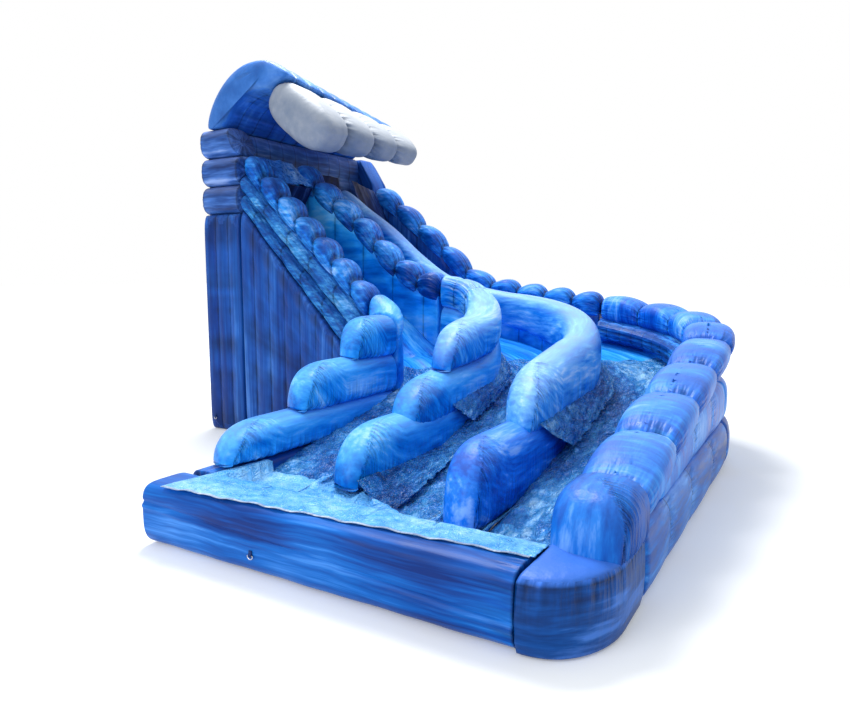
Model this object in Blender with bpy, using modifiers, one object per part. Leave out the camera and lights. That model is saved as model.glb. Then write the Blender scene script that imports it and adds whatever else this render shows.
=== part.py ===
"""Inflatable water slide with three curved channels, a wave-shaped crest and a splash pool.

Metres, +Z up. The slide stands on z = 0 with the middle of its plan at the origin. +X runs down
the slope, away from the tower, and the channels then turn towards -Y, where the pool is.
The large chambers are hollow vinyl shells, each with a port in one end, where the air passes.
"""

import math

import bmesh
import bpy
from mathutils import Vector

# Clearance between pieces that touch, as a length and as a share of one station
GAP = 0.0005
JOIN_SHARE = 0.001
SHELL = 0.025
PORT_MARGIN = 0.08

# Four guard lines run from the tower round the turn to the pool: 0 inner, 1 and 2 dividers, 3 outer
SLOPE_LINE = 0.74
SLOPE_PITCH = 1.25
EXIT_LINE = 0.75
EXIT_PITCH = 1.29
OUTER_EXIT_SHIFT = 0.26
INNER_TURN_RADIUS = 0.35
DIVIDER_1_TURN_RADIUS = 1.15
DIVIDER_2_TURN_RADIUS = 1.90
OUTER_TURN_RADIUS = 2.10
SLOPE_START = -2.10
EXIT_END = -2.35
SLOPE_STEPS = 6
TURN_STEPS = 6
EXIT_STEPS = 6
TURN_K = SLOPE_STEPS
EXIT_K = SLOPE_STEPS + TURN_STEPS
END_K = EXIT_K + EXIT_STEPS
EXIT_LINES = (EXIT_LINE, EXIT_LINE + EXIT_PITCH, EXIT_LINE + 2 * EXIT_PITCH,
              EXIT_LINE + 3 * EXIT_PITCH + OUTER_EXIT_SHIFT)
RADII = (INNER_TURN_RADIUS, DIVIDER_1_TURN_RADIUS, DIVIDER_2_TURN_RADIUS, OUTER_TURN_RADIUS)

# Half widths of the guards on the slope and past the turn, and how far the cushions overhang them.
# Past the slope the outer guard's wall is narrower, and its cushions reach out over two tiers.
SLOPE_HALF = 0.20
EXIT_HALF = 0.29
SCALLOP_OVERHANG = 0.045
OUTER_OVERHANG = 0.04
OUTER_WALL_OUT = 0.03

# Heights: the guards' tops are shares of START_TOP and the beds' tops are shares of DECK_HEIGHT
DECK_HEIGHT = 3.70
START_TOP = 4.75
SCALLOP_HEIGHT = 0.42
SCALLOP_DIP = 0.15
TUBES_HEIGHT = 0.60
TUBES_HEIGHT_LOW = 0.90
GUTTER_RISE = 0.06
INNER_TOP_SHARES = (1.0, 0.919, 0.838, 0.756, 0.675, 0.594, 0.513,
                    0.505, 0.495, 0.485, 0.475, 0.462, 0.452)
DIVIDER_1_TOP_SHARES = (1.0, 0.926, 0.850, 0.765, 0.668, 0.600, 0.568,
                        0.560, 0.547, 0.526, 0.503, 0.478, 0.452)
DIVIDER_2_TOP_SHARES = (0.916, 0.834, 0.750, 0.648, 0.566, 0.527, 0.504,
                        0.493, 0.480, 0.463, 0.442, 0.418, 0.392)
OUTER_TOP_SHARES = (0.968, 0.853, 0.715, 0.580, 0.540, 0.518, 0.498,
                    0.482, 0.468, 0.455, 0.442, 0.425, 0.402,
                    0.375, 0.345, 0.318, 0.293, 0.262, 0.225)
BED_SHARES = ((1.0, 0.908, 0.805, 0.700, 0.595, 0.492, 0.392,
               0.373, 0.354, 0.335, 0.316, 0.297, 0.278,
               0.254, 0.230, 0.205, 0.181, 0.157, 0.135),
              (1.0, 0.887, 0.768, 0.649, 0.541, 0.465, 0.419,
               0.400, 0.378, 0.357, 0.330, 0.303, 0.276,
               0.238, 0.200, 0.162, 0.124, 0.092, 0.068),
              (1.0, 0.851, 0.703, 0.554, 0.465, 0.432, 0.405,
               0.384, 0.362, 0.338, 0.311, 0.284, 0.257,
               0.216, 0.178, 0.146, 0.114, 0.086, 0.068))

# Stacked exit cushions: the tops of the lower and middle layers, and the station where each ends
LOWER_TOP = 1.06
MIDDLE_TOP = 1.58
INNER_END_STATIONS = (19.30, 16.70, 14.30)
DIVIDER_1_END_STATIONS = (18.20, 16.15, 14.25)
DIVIDER_2_END_STATIONS = (18.10, 15.75)
OUTER_END_STATION = 18.85
DIVIDER_2_LOWER_TOP = 1.00
UPPER_1_TOP_SHARES = (0.452, 0.432, 0.398)
UPPER_2_TOP_SHARES = (0.392, 0.373, 0.350, 0.322)
NOSE_STATIONS = 0.75

# Tower
TOWER_BACK = -2.96
BACK_WALL = 0.45
PANEL_OUT = 0.29
BAND_TOP = 5.10
RIB_PITCH = 0.32
RIB_DEPTH = 0.035
CREST_THICKNESS = 0.42
CREST_REACH = 1.20
CREST_RISE = 1.39
CREST_SINK = 0.40
CREST_TAPER = 0.22
CREST_SWEEP = math.radians(130)
CREST_INNER_SWEEP = math.radians(106)
CREST_STEPS = 9
CREST_FAR_INSET = 0.50
CREST_LOBES = 10
CREST_LOBE_DEPTH = 0.035
PUFFS = 4
PUFF_LENGTH = 1.46
PUFF_DEPTH = 0.75
PUFF_TAPER = 0.32
PUFF_FORWARD = 0.65
PUFF_FORWARD_FAR = 0.56
PUFF_DROP = 0.43
PUFF_DROP_FAR = 0.13
PUFF_GAP = 0.0008
PUFF_TILT = math.radians(38)

# Climbing mat in the middle channel
STEPS_PER_STATION = 2
STEP_HEIGHT = 0.11
MAT_THICKNESS = 0.05

# Pool
POOL_FRONT = -3.61
POOL_HEIGHT = 0.64
POOL_DEPTH = 0.62
POOL_LEFT = 0.53
CORNER_START = EXIT_LINES[3] - EXIT_HALF
CORNER_WIDTH = 0.58
CORNER_RADIUS = 0.80
LINER = 0.008
LINER_OVERLAP = 0.33
LINER_FLOOR = 0.12
LINER_PLATEAU = 0.46
LINER_SAG = 0.12
LINER_EDGE = 0.16

# Outer guard's two tiers of tubes
BASE_TIER_TOP = POOL_HEIGHT
BASE_TIER_WIDTH = 0.30
MIDDLE_TIER_TOP = 1.20
MIDDLE_TIER_WIDTH = 0.24

# Fittings
RING_WIRE = 0.0045
RING_RADIUS = 0.032
TAB_WIDTH = 0.036
TAB_THICKNESS = 0.022
TAB_HEIGHT = 0.05
EYE_CLEARANCE = 0.0006
FLAP_LENGTH = 0.60
FLAP_HEIGHT = 0.16
FLAP_THICKNESS = 0.006
ZIP_WIDTH = 0.03
ZIP_DEPTH = 0.006
FITTING_HEIGHT = 0.22
SLEEVE_RADIUS = 0.16
SLEEVE_LENGTH = 0.55
SLEEVE_WALL = 0.006

# Colours
DEEP_BLUE = (0.03, 0.16, 0.60)
SKY_BLUE = (0.05, 0.33, 0.80)
LINER_BLUE = (0.10, 0.45, 0.85)
FOAM_WHITE = (0.85, 0.87, 0.90)
STEEL_GREY = (0.60, 0.61, 0.63)
VINYL_ROUGHNESS = 0.35
STEEL_ROUGHNESS = 0.25

# The plan's corners, and the shift that brings its middle to the origin
PLAN_LEFT = TOWER_BACK - RIB_DEPTH - SLEEVE_LENGTH
PLAN_RIGHT = EXIT_LINES[3] + OUTER_WALL_OUT + BASE_TIER_WIDTH
PLAN_BACK = SLOPE_LINE + 3 * SLOPE_PITCH + OUTER_WALL_OUT + BASE_TIER_WIDTH
PLAN_FRONT = POOL_FRONT
MIDDLE = Vector(((PLAN_LEFT + PLAN_RIGHT) / 2, (PLAN_FRONT + PLAN_BACK) / 2, 0))


def clear_scene():
    for item in list(bpy.data.objects):
        bpy.data.objects.remove(item, do_unlink=True)


def make_material(name, colour, roughness=VINYL_ROUGHNESS, metallic=0.0):
    material = bpy.data.materials.new(name)
    material.use_nodes = True
    shader = material.node_tree.nodes["Principled BSDF"]
    shader.inputs["Base Color"].default_value = (*colour, 1)
    shader.inputs["Roughness"].default_value = roughness
    shader.inputs["Metallic"].default_value = metallic
    return material


def add_object(name, mesh, material, collection):
    mesh.materials.append(material)
    item = bpy.data.objects.new(name, mesh)
    collection.objects.link(item)
    return item


def lofted(name, rings, material, collection, hollow=False):
    """Join equal rings of points into one skin. A hollow loft has an air port in its last end."""
    shape = bmesh.new()
    rows = [[shape.verts.new(point - MIDDLE) for point in ring] for ring in rings]
    count = len(rows[0])
    for row, following in zip(rows, rows[1:]):
        for place in range(count):
            after = (place + 1) % count
            shape.faces.new((row[place], row[after], following[after], following[place]))
    shape.faces.new(rows[0])
    last_end = shape.faces.new(rows[-1])
    bmesh.ops.recalc_face_normals(shape, faces=shape.faces)
    if hollow:
        bmesh.ops.inset_individual(shape, faces=[last_end], thickness=PORT_MARGIN)
        bmesh.ops.delete(shape, geom=[last_end], context="FACES")
    bmesh.ops.triangulate(shape, faces=shape.faces)
    mesh = bpy.data.meshes.new(name)
    shape.to_mesh(mesh)
    shape.free()
    item = add_object(name, mesh, material, collection)
    if hollow:
        shell = item.modifiers.new("Sewn shell", "SOLIDIFY")
        shell.thickness = SHELL
        shell.offset = -1
    return item


# Places along the guard lines
def station_frame(line, k):
    """Plan point and outward direction of a guard line at a whole station."""
    radius = RADII[line]
    slope_y = SLOPE_LINE + line * SLOPE_PITCH
    exit_x = EXIT_LINES[line]
    centre = Vector((exit_x - radius, slope_y - radius, 0))
    if k <= TURN_K:
        x = SLOPE_START + (centre.x - SLOPE_START) * k / SLOPE_STEPS
        return Vector((x, slope_y, 0)), Vector((0, 1, 0))
    if k >= EXIT_K:
        y = centre.y + (EXIT_END - centre.y) * (k - EXIT_K) / EXIT_STEPS
        return Vector((exit_x, y, 0)), Vector((1, 0, 0))
    angle = math.pi / 2 * (1 - (k - TURN_K) / TURN_STEPS)
    outward = Vector((math.cos(angle), math.sin(angle), 0))
    return centre + outward * radius, outward


def at(line, k, offset, height):
    """Point beside a guard line. Between two whole stations it lies on the straight chord."""
    low = math.floor(k)
    point, outward = station_frame(line, low)
    spot = point + outward * offset
    share = k - low
    if share:
        point, outward = station_frame(line, low + 1)
        spot = spot.lerp(point + outward * offset, share)
    return Vector((spot.x, spot.y, height))


def share_at(shares, k, first=0):
    """Value of a table of shares at a station, straight between its entries."""
    place = min(max(k - first, 0), len(shares) - 1)
    low = min(math.floor(place), len(shares) - 2)
    return shares[low] + (shares[low + 1] - shares[low]) * (place - low)


def half_at(k):
    turned = min(max((k - TURN_K) / TURN_STEPS, 0), 1)
    return SLOPE_HALF + (EXIT_HALF - SLOPE_HALF) * turned


def spread(first, last, count):
    return [first + (last - first) * step / count for step in range(count + 1)]


# Beds: each lane's base chamber stands on the ground and carries the sliding face
def lane_ring(lane, k):
    left = at(lane, k, half_at(k) + GAP, 0)
    right = at(lane + 1, k, -half_at(k) - GAP, 0)
    top = DECK_HEIGHT * share_at(BED_SHARES[lane], k)
    rim = top + GUTTER_RISE
    across = ((0, 0), (0, rim), (0.22, top), (0.78, top), (1, rim), (1, 0))
    return [left.lerp(right, share) + Vector((0, 0, height)) for share, height in across]


def lane_beds(collection, material):
    for lane, word in enumerate(("inner", "middle", "outer")):
        for stretch, first, last in (("slope", 0, TURN_K), ("turn", TURN_K, EXIT_K),
                                     ("exit", EXIT_K, END_K)):
            stations = [first + JOIN_SHARE] + list(range(first + 1, last)) + [last]
            rings = [lane_ring(lane, k) for k in reversed(stations)]
            lofted(f"{word}_lane_{stretch}_chamber", rings, material, collection, hollow=True)


# Guards on the slope, whose tops are rows of cushions sewn into one scalloped chamber
def scallop(phase):
    """Fullness of a row of cushions: 1 at each crown and 0 at each seam."""
    return math.sqrt(abs(math.sin(math.pi * phase)))


def arch_ring(line, k, bottom, top, half, overhang, neck, wall_out=None):
    """Upright sides, then a cushion that overhangs them, standing over a guard line."""
    wide = half + overhang
    rise = top - neck
    points = [(-half, bottom), (-half, neck)]
    for step in range(1, 6):
        angle = math.pi * step / 6
        swell = math.sin(angle) ** 0.6
        points.append((-wide * math.copysign(abs(math.cos(angle)) ** 0.6, math.cos(angle)),
                       neck + rise * swell))
    points.append((half, neck))
    if wall_out is None:
        points.append((half, bottom))
    else:
        points += [(wall_out, neck), (wall_out, bottom)]
    return [at(line, k, offset, height) for offset, height in points]


def scalloped_guard(name, line, tops, first, last, crowns, collection, material,
                    overhang=SCALLOP_OVERHANG, wall_out=None):
    """One guard with a row of cushions sewn along its top."""
    stations = [first + JOIN_SHARE]
    for crown in range(crowns):
        for share in (0.15, 0.5, 0.85, 1):
            stations.append(first + (last - first) * (crown + share) / crowns)
    for whole in range(math.ceil(first + JOIN_SHARE), last):
        if all(abs(whole - k) > 0.04 for k in stations):
            stations.append(whole)
    rings = []
    for k in sorted(stations):
        full = scallop((k - first) / (last - first) * crowns)
        half = half_at(k)
        peak = START_TOP * share_at(tops, k)
        neck = peak - SCALLOP_HEIGHT
        top = peak - SCALLOP_DIP * (1 - full)
        rings.append(arch_ring(line, k, 0, top, half, overhang * (2 * full - 1), neck, wall_out))
    return lofted(name, rings[::-1], material, collection, hollow=True)


def inner_guard_slope(collection, vinyl, panel_vinyl):
    """The near guard is a baffled side panel, two stacked tubes and a row of cushions."""
    def tubes_top(k):
        return START_TOP * share_at(INNER_TOP_SHARES, k) - SCALLOP_HEIGHT

    def tubes_height(k):
        return TUBES_HEIGHT + (TUBES_HEIGHT_LOW - TUBES_HEIGHT) * k / TURN_K

    stations = spread(JOIN_SHARE, TURN_K, SLOPE_STEPS)
    rings = []
    for k in stations:
        top = tubes_top(k) - tubes_height(k)
        ribbed = [(-PANEL_OUT, 0), (-PANEL_OUT, top), (SLOPE_HALF, top), (SLOPE_HALF, 0)]
        rings.append([at(0, k, offset, height) for offset, height in ribbed])
    lofted("slope_side_panel", rings, panel_vinyl, collection, hollow=True)
    for name, low, high in (("slope_lower_tube", 0.0, 0.5), ("slope_upper_tube", 0.5, 1.0)):
        rings = []
        for k in stations:
            base = tubes_top(k) - tubes_height(k) * (1 - low) + GAP
            top = tubes_top(k) - tubes_height(k) * (1 - high)
            points = [(SLOPE_HALF, base), (SLOPE_HALF, top), (-SLOPE_HALF, top)]
            for step in (1, 2, 3, 4):
                angle = math.pi * step / 5
                out = SLOPE_HALF + (PANEL_OUT - SLOPE_HALF) * math.sin(angle)
                points.append((-out, top + (base - top) * step / 5))
            points.append((-SLOPE_HALF, base))
            rings.append([at(0, k, offset, height) for offset, height in points])
        lofted(name, rings, vinyl, collection)
    rings = []
    crowns = 7
    for step in range(4 * crowns + 1):
        k = JOIN_SHARE + (TURN_K - JOIN_SHARE) * step / (4 * crowns)
        full = scallop(k / TURN_K * crowns)
        peak = START_TOP * share_at(INNER_TOP_SHARES, k)
        base = peak - SCALLOP_HEIGHT + GAP
        top = peak - SCALLOP_DIP * (1 - full)
        half = SLOPE_HALF + SCALLOP_OVERHANG * (2 * full - 1)
        points = [(-SLOPE_HALF, base)]
        for turn in range(0, 7):
            angle = math.pi * turn / 6
            out = -half * math.copysign(abs(math.cos(angle)) ** 0.6, math.cos(angle))
            points.append((out, base + SHELL + (top - base - SHELL) * math.sin(angle) ** 0.6))
        points.append((SLOPE_HALF, base))
        rings.append([at(0, k, offset, height) for offset, height in points])
    lofted("inner_slope_cushions", rings, vinyl, collection)


# Guards whose tops are one smooth tube, and the guards round the turn
def plain_guard(name, line, tops, first, last, collection, material):
    rings = []
    for k in [first + JOIN_SHARE] + list(range(first + 1, last + 1)):
        top = START_TOP * share_at(tops, k)
        rings.append(arch_ring(line, k, 0, top, half_at(k), 0, top - SCALLOP_HEIGHT))
    lofted(name, rings, material, collection, hollow=True)


def turn_guards(collection, vinyl):
    plain_guard("inner_corner_chamber", 0, INNER_TOP_SHARES, TURN_K, EXIT_K, collection, vinyl)
    middle = (TURN_K + EXIT_K) // 2
    for line, tops, name in ((1, DIVIDER_1_TOP_SHARES, "divider_1_turn_chamber"),
                             (2, DIVIDER_2_TOP_SHARES, "divider_2_turn_chamber")):
        plain_guard(f"{name}_a", line, tops, TURN_K, middle, collection, vinyl)
        plain_guard(f"{name}_b", line, tops, middle, EXIT_K, collection, vinyl)
    for part, first, last in (("a", TURN_K, middle), ("b", middle, EXIT_K)):
        scalloped_guard(f"outer_turn_cushions_{part}", 3, OUTER_TOP_SHARES, first, last, 2,
                        collection, vinyl, OUTER_OVERHANG, OUTER_WALL_OUT)
    scalloped_guard("outer_exit_cushions", 3, OUTER_TOP_SHARES, EXIT_K, END_K, 4,
                    collection, vinyl, OUTER_OVERHANG, OUTER_WALL_OUT)


# Stacked cushions beside the exits
def cushion(name, line, first, last, low, high, collection, material, half, nose=NOSE_STATIONS):
    """A long pillow over a guard line, square at its hidden end and round at its nose."""
    body_end = last - nose
    stations = spread(first + JOIN_SHARE, body_end, 4)
    stations += [body_end + nose * share for share in (0.35, 0.65, 0.85, 0.96)]
    rings = []
    for k in stations:
        past = max(0, (k - body_end) / nose)
        round_off = math.sqrt(1 - past * past)
        base = low(k)
        top = base + (high(k) - base) * (0.45 + 0.55 * round_off)
        middle = (base + top) / 2
        points = []
        for step in range(12):
            angle = 2 * math.pi * step / 12
            side = math.copysign(abs(math.cos(angle)) ** 0.55, math.cos(angle))
            rise = math.copysign(abs(math.sin(angle)) ** 0.55, math.sin(angle))
            points.append((half * (0.25 + 0.75 * round_off) * side, middle + (top - base) / 2 * rise))
        rings.append([at(line, k, offset, height) for offset, height in points])
    return lofted(name, rings, material, collection)


def exit_cushions(collection, vinyl):
    def upper_1(k):
        return START_TOP * share_at(UPPER_1_TOP_SHARES, k, EXIT_K)

    def upper_2(k):
        return START_TOP * share_at(UPPER_2_TOP_SHARES, k, EXIT_K)

    def level(height):
        return lambda k: height

    half = EXIT_HALF
    cushion("inner_lower_cushion", 0, EXIT_K, INNER_END_STATIONS[0],
            level(POOL_HEIGHT + GAP), level(LOWER_TOP), collection, vinyl, half)
    cushion("inner_middle_cushion", 0, EXIT_K, INNER_END_STATIONS[1],
            level(LOWER_TOP + GAP), level(MIDDLE_TOP), collection, vinyl, half)
    cushion("inner_upper_cushion", 0, EXIT_K, INNER_END_STATIONS[2],
            level(MIDDLE_TOP + GAP), upper_1, collection, vinyl, half)
    cushion("divider_1_lower_cushion", 1, EXIT_K, DIVIDER_1_END_STATIONS[0],
            level(0), level(LOWER_TOP), collection, vinyl, half)
    cushion("divider_1_middle_cushion", 1, EXIT_K, DIVIDER_1_END_STATIONS[1],
            level(LOWER_TOP + GAP), level(MIDDLE_TOP), collection, vinyl, half)
    cushion("divider_1_upper_cushion", 1, EXIT_K, DIVIDER_1_END_STATIONS[2],
            level(MIDDLE_TOP + GAP), upper_1, collection, vinyl, half)
    cushion("divider_2_lower_cushion", 2, EXIT_K, DIVIDER_2_END_STATIONS[0],
            level(0), level(DIVIDER_2_LOWER_TOP), collection, vinyl, half)
    cushion("divider_2_upper_cushion", 2, EXIT_K, DIVIDER_2_END_STATIONS[1],
            level(DIVIDER_2_LOWER_TOP + GAP), upper_2, collection, vinyl, half)
    cushion("outer_nose_cushion", 3, END_K, OUTER_END_STATION,
            level(POOL_HEIGHT + GAP), level(START_TOP * OUTER_TOP_SHARES[-1]),
            collection, vinyl, half + OUTER_OVERHANG, NOSE_STATIONS)


# Outer guard's tiers
def tier(name, first, last, width, bottom, full_top, collection, material):
    """A tube along the outer guard's foot, no higher than the cushions that overhang it."""
    stations = [first + JOIN_SHARE] + list(range(first + 1, last + 1))
    rings = []
    for k in stations:
        neck = START_TOP * share_at(OUTER_TOP_SHARES, k) - SCALLOP_HEIGHT
        top = min(full_top, neck - GAP)
        start = OUTER_WALL_OUT + GAP
        points = [(start, bottom), (start, top)]
        for step in range(5):
            angle = math.pi / 2 - math.pi * step / 4
            points.append((start + (width - GAP) * (0.35 + 0.65 * math.cos(angle)),
                           (top + bottom) / 2 + (top - bottom) / 2 * math.sin(angle)))
        rings.append([at(3, k, offset, height) for offset, height in points])
    lofted(name, rings, material, collection)


def tiers(collection, vinyl):
    tier("outer_base_tube_turn", TURN_K, EXIT_K, BASE_TIER_WIDTH, 0, BASE_TIER_TOP,
         collection, vinyl)
    tier("outer_base_tube_exit", EXIT_K, END_K, BASE_TIER_WIDTH, 0, BASE_TIER_TOP,
         collection, vinyl)
    tier("outer_middle_tube_turn", TURN_K, EXIT_K, MIDDLE_TIER_WIDTH,
         BASE_TIER_TOP + GAP, MIDDLE_TIER_TOP, collection, vinyl)
    tier("outer_middle_tube_exit", EXIT_K, END_K - 1, MIDDLE_TIER_WIDTH,
         BASE_TIER_TOP + GAP, MIDDLE_TIER_TOP, collection, vinyl)


# Tower
def upright_ribs(start, end, outer, inner, along_x):
    """Outline of an upright panel whose outer face bulges between evenly spaced baffles."""
    count = max(1, round(abs(end - start) / RIB_PITCH))
    points = []
    for step in range(3 * count + 1):
        place = start + (end - start) * step / (3 * count)
        bulge = RIB_DEPTH * (1 if step % 3 else 0)
        points.append((place, outer + math.copysign(bulge, outer - inner)))
    points += [(end, inner), (start, inner)]
    return points if along_x else [(across, place) for place, across in points]


def tower(collection, deep_vinyl, foam):
    near_out = SLOPE_LINE - PANEL_OUT
    near_in = SLOPE_LINE + SLOPE_HALF
    far_line = SLOPE_LINE + 3 * SLOPE_PITCH
    far_in = far_line - SLOPE_HALF
    far_out = far_line + PANEL_OUT
    front = SLOPE_START
    back_in = TOWER_BACK + BACK_WALL

    for name, outline, top in (
            ("tower_near_panel", upright_ribs(TOWER_BACK, front, near_out, near_in, True),
             DECK_HEIGHT),
            ("tower_far_panel", upright_ribs(TOWER_BACK, front, far_out, far_in, True),
             BAND_TOP),
            ("tower_back_wall", upright_ribs(near_in + GAP, far_in - GAP, TOWER_BACK, back_in,
                                             False), BAND_TOP)):
        rings = [[Vector((x, y, z)) for x, y in outline] for z in (0, top)]
        lofted(name, rings, deep_vinyl, collection, hollow=True)

    deck = [(back_in + GAP, near_in + GAP), (front, near_in + GAP),
            (front, far_in - GAP), (back_in + GAP, far_in - GAP)]
    rings = [[Vector((x, y, z)) for x, y in deck] for z in (DECK_HEIGHT, 0)]
    lofted("tower_core_chamber", rings, deep_vinyl, collection, hollow=True)

    points = [(near_in, DECK_HEIGHT + GAP)]
    for step in range(10):
        height = DECK_HEIGHT + GAP + (BAND_TOP - DECK_HEIGHT - GAP) * step / 9
        points.append((near_out - RIB_DEPTH * (1 if step % 3 else 0), height))
    points.append((near_in, BAND_TOP))
    rings = [[Vector((x, y, z)) for y, z in points] for x in (TOWER_BACK, front)]
    lofted("tower_near_band", rings, deep_vinyl, collection, hollow=True)

    wave(collection, near_out, far_out - CREST_FAR_INSET, deep_vinyl, foam)


def crest_arc(share, swell):
    """Outer and inner points of the crest's curl, a share of the way from its near end."""
    size = 1 - CREST_TAPER * share
    arcs = []
    for inset, sweep in ((0, CREST_SWEEP), (CREST_THICKNESS, CREST_INNER_SWEEP)):
        reach = (CREST_REACH - inset) * size
        rise = (CREST_RISE - CREST_LOBE_DEPTH - inset) * size + (0 if inset else swell)
        foot = math.asin(CREST_SINK / rise)
        arcs.append([(TOWER_BACK + CREST_REACH * size - reach * math.cos(angle),
                      BAND_TOP + GAP - CREST_SINK + rise * math.sin(angle))
                     for angle in spread(foot, sweep, CREST_STEPS)])
    return arcs


def wave(collection, near, far, deep_vinyl, foam):
    """The curling crest, whose ridge sinks towards its far end, and the foam puffs on its lip."""
    rings = []
    for step in range(2 * CREST_LOBES + 1):
        share = step / (2 * CREST_LOBES)
        y = near + (far - near) * share
        outer, inner = crest_arc(share, CREST_LOBE_DEPTH * (step % 2))
        rings.append([Vector((x, y, z)) for x, z in outer + inner[::-1]])
    lofted("wave_crest", rings, deep_vinyl, collection, hollow=True)

    for number in range(PUFFS):
        rings = []
        for share, fullness in ((0, 0.62), (0.06, 0.84), (0.2, 0.97), (0.5, 1), (0.8, 0.97),
                                (0.94, 0.84), (1, 0.62)):
            along_row = (number + share) / PUFFS
            y = near + (far - near) * along_row + PUFF_GAP * (0.5 - share)
            rings.append(puff_ring(y, along_row, fullness))
        lofted(f"foam_puff_{number + 1}", rings, foam, collection)


def puff_ring(y, share, fullness):
    """Section of the foam. It lies flat against the end of the crest's lip."""
    outer, inner = crest_arc(share, 0)
    top = Vector((outer[-1][0], 0, outer[-1][1]))
    lip = Vector((inner[-1][0], 0, inner[-1][1]))
    up = (top - lip).normalized()
    forward = Vector((up.z, 0, -up.x))
    size = 1 - PUFF_TAPER * share
    heart = lip + Vector((PUFF_FORWARD + (PUFF_FORWARD_FAR - PUFF_FORWARD) * share, 0,
                          (PUFF_DROP - PUFF_DROP_FAR) * share - PUFF_DROP))
    ring = []
    for step in range(12):
        angle = 2 * math.pi * step / 12
        long = math.copysign(abs(math.cos(angle)) ** 0.7, math.cos(angle)) * PUFF_LENGTH / 2
        deep = math.copysign(abs(math.sin(angle)) ** 0.7, math.sin(angle)) * PUFF_DEPTH / 2
        spot = heart + Vector((long * math.cos(PUFF_TILT) + deep * math.sin(PUFF_TILT), 0,
                               deep * math.cos(PUFF_TILT) - long * math.sin(PUFF_TILT))
                              ) * size * fullness
        behind = GAP - (spot - lip).dot(forward)
        if behind > 0:
            spot += forward * behind
        ring.append(Vector((spot.x, y, spot.z)))
    return ring


def climbing_mat(collection, material):
    """Padded steps sewn in one mat, which spans the middle lane from gutter to gutter."""
    def surface(k):
        return DECK_HEIGHT * share_at(BED_SHARES[1], k) + GUTTER_RISE

    stations = []
    for whole in range(TURN_K):
        for step in range(STEPS_PER_STATION):
            for share, raised in ((0, 0), (0.2, 1), (0.6, 1), (0.8, 0)):
                stations.append((whole + (step + share) / STEPS_PER_STATION, raised))
    stations[0] = (JOIN_SHARE, 0)
    rings = []
    for k, raised in stations + [(TURN_K - JOIN_SHARE, 0)]:
        left = at(1, k, SLOPE_HALF + GAP, 0)
        right = at(2, k, -SLOPE_HALF - GAP, 0)
        base = surface(k) + GAP
        top = base + MAT_THICKNESS + STEP_HEIGHT * raised
        rings.append([spot + Vector((0, 0, height)) for spot, height in
                      ((left, base), (left, top), (right, top), (right, base))])
    lofted("climbing_mat", rings, material, collection)


# Pool
def pool(collection, vinyl, liner_vinyl):
    left_out = POOL_LEFT
    left_in = EXIT_LINE + EXIT_HALF
    right_in = CORNER_START
    back = POOL_FRONT + POOL_DEPTH

    def tube_ring(point, start, end):
        """Upright tube section with rounded shoulders, from its outer to its inner face."""
        ring = []
        for share, height in ((0.06, 0), (0, 0.18), (0, 0.62), (0.14, 0.92), (0.4, 1),
                              (0.6, 1), (0.86, 0.92), (1, 0.62), (1, 0.18), (0.94, 0)):
            ring.append(point(start + (end - start) * share, POOL_HEIGHT * height))
        return ring

    rings = [tube_ring(lambda across, height, x=x: Vector((x, across, height)), POOL_FRONT, back)
             for x in spread(left_out, CORNER_START - GAP, 4)]
    lofted("pool_front_tube", rings, vinyl, collection)
    left_back = at(0, EXIT_K, 0, 0).y - GAP
    rings = [tube_ring(lambda across, height, y=y: Vector((across, y, height)), left_out, left_in)
             for y in spread(back + GAP, left_back, 4)]
    lofted("pool_left_tube", rings, vinyl, collection)

    start = CORNER_START + GAP
    side = PLAN_RIGHT
    rear = EXIT_END - GAP
    middle = Vector(((start + side) / 2, (POOL_FRONT + rear) / 2, 0))
    outline = [Vector((start, rear, 0)), Vector((start, POOL_FRONT, 0))]
    for step in range(6):
        angle = math.pi / 2 * step / 5
        outline.append(Vector((side - CORNER_WIDTH * (1 - math.sin(angle)),
                               POOL_FRONT + CORNER_RADIUS * (1 - math.cos(angle)), 0)))
    outline.append(Vector((side, rear, 0)))
    rings = []
    for size, height in ((0.92, 0), (0.98, 0.18), (1, 0.45), (0.97, 0.75), (0.9, 0.93), (0.74, 1)):
        rings.append([middle.lerp(spot, size) + Vector((0, 0, POOL_HEIGHT * height))
                      for spot in outline])
    lofted("pool_corner_block", rings, vinyl, collection)
    pool_liner(collection, liner_vinyl, left_in, right_in, back)


def pool_liner(collection, material, left, right, back):
    """A sheet that hangs from the front tube's top and lies in the basin, higher at the left."""
    rest = GAP
    rings = []
    for x, floor in ((left + GAP, LINER_PLATEAU), (EXIT_LINES[1], LINER_PLATEAU),
                     (EXIT_LINES[2] - EXIT_HALF, LINER_FLOOR), (right - GAP, LINER_FLOOR)):
        path = [(back - LINER_OVERLAP, POOL_HEIGHT + rest), (back - 0.4 * POOL_DEPTH,
                                                             POOL_HEIGHT + rest)]
        path += [(back - 0.14 * POOL_DEPTH + rest, 0.92 * POOL_HEIGHT + rest),
                 (back + 2 * rest, max(0.62 * POOL_HEIGHT, floor) + rest),
                 (back + LINER_SAG, floor), (EXIT_END - LINER_EDGE, floor)]
        under = [Vector((x, y, z)) for y, z in path]
        over = [Vector((x, y + LINER / 2, z + LINER)) for y, z in path]
        rings.append(under + over[::-1])
    lofted("pool_liner", rings, material, collection)


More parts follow.
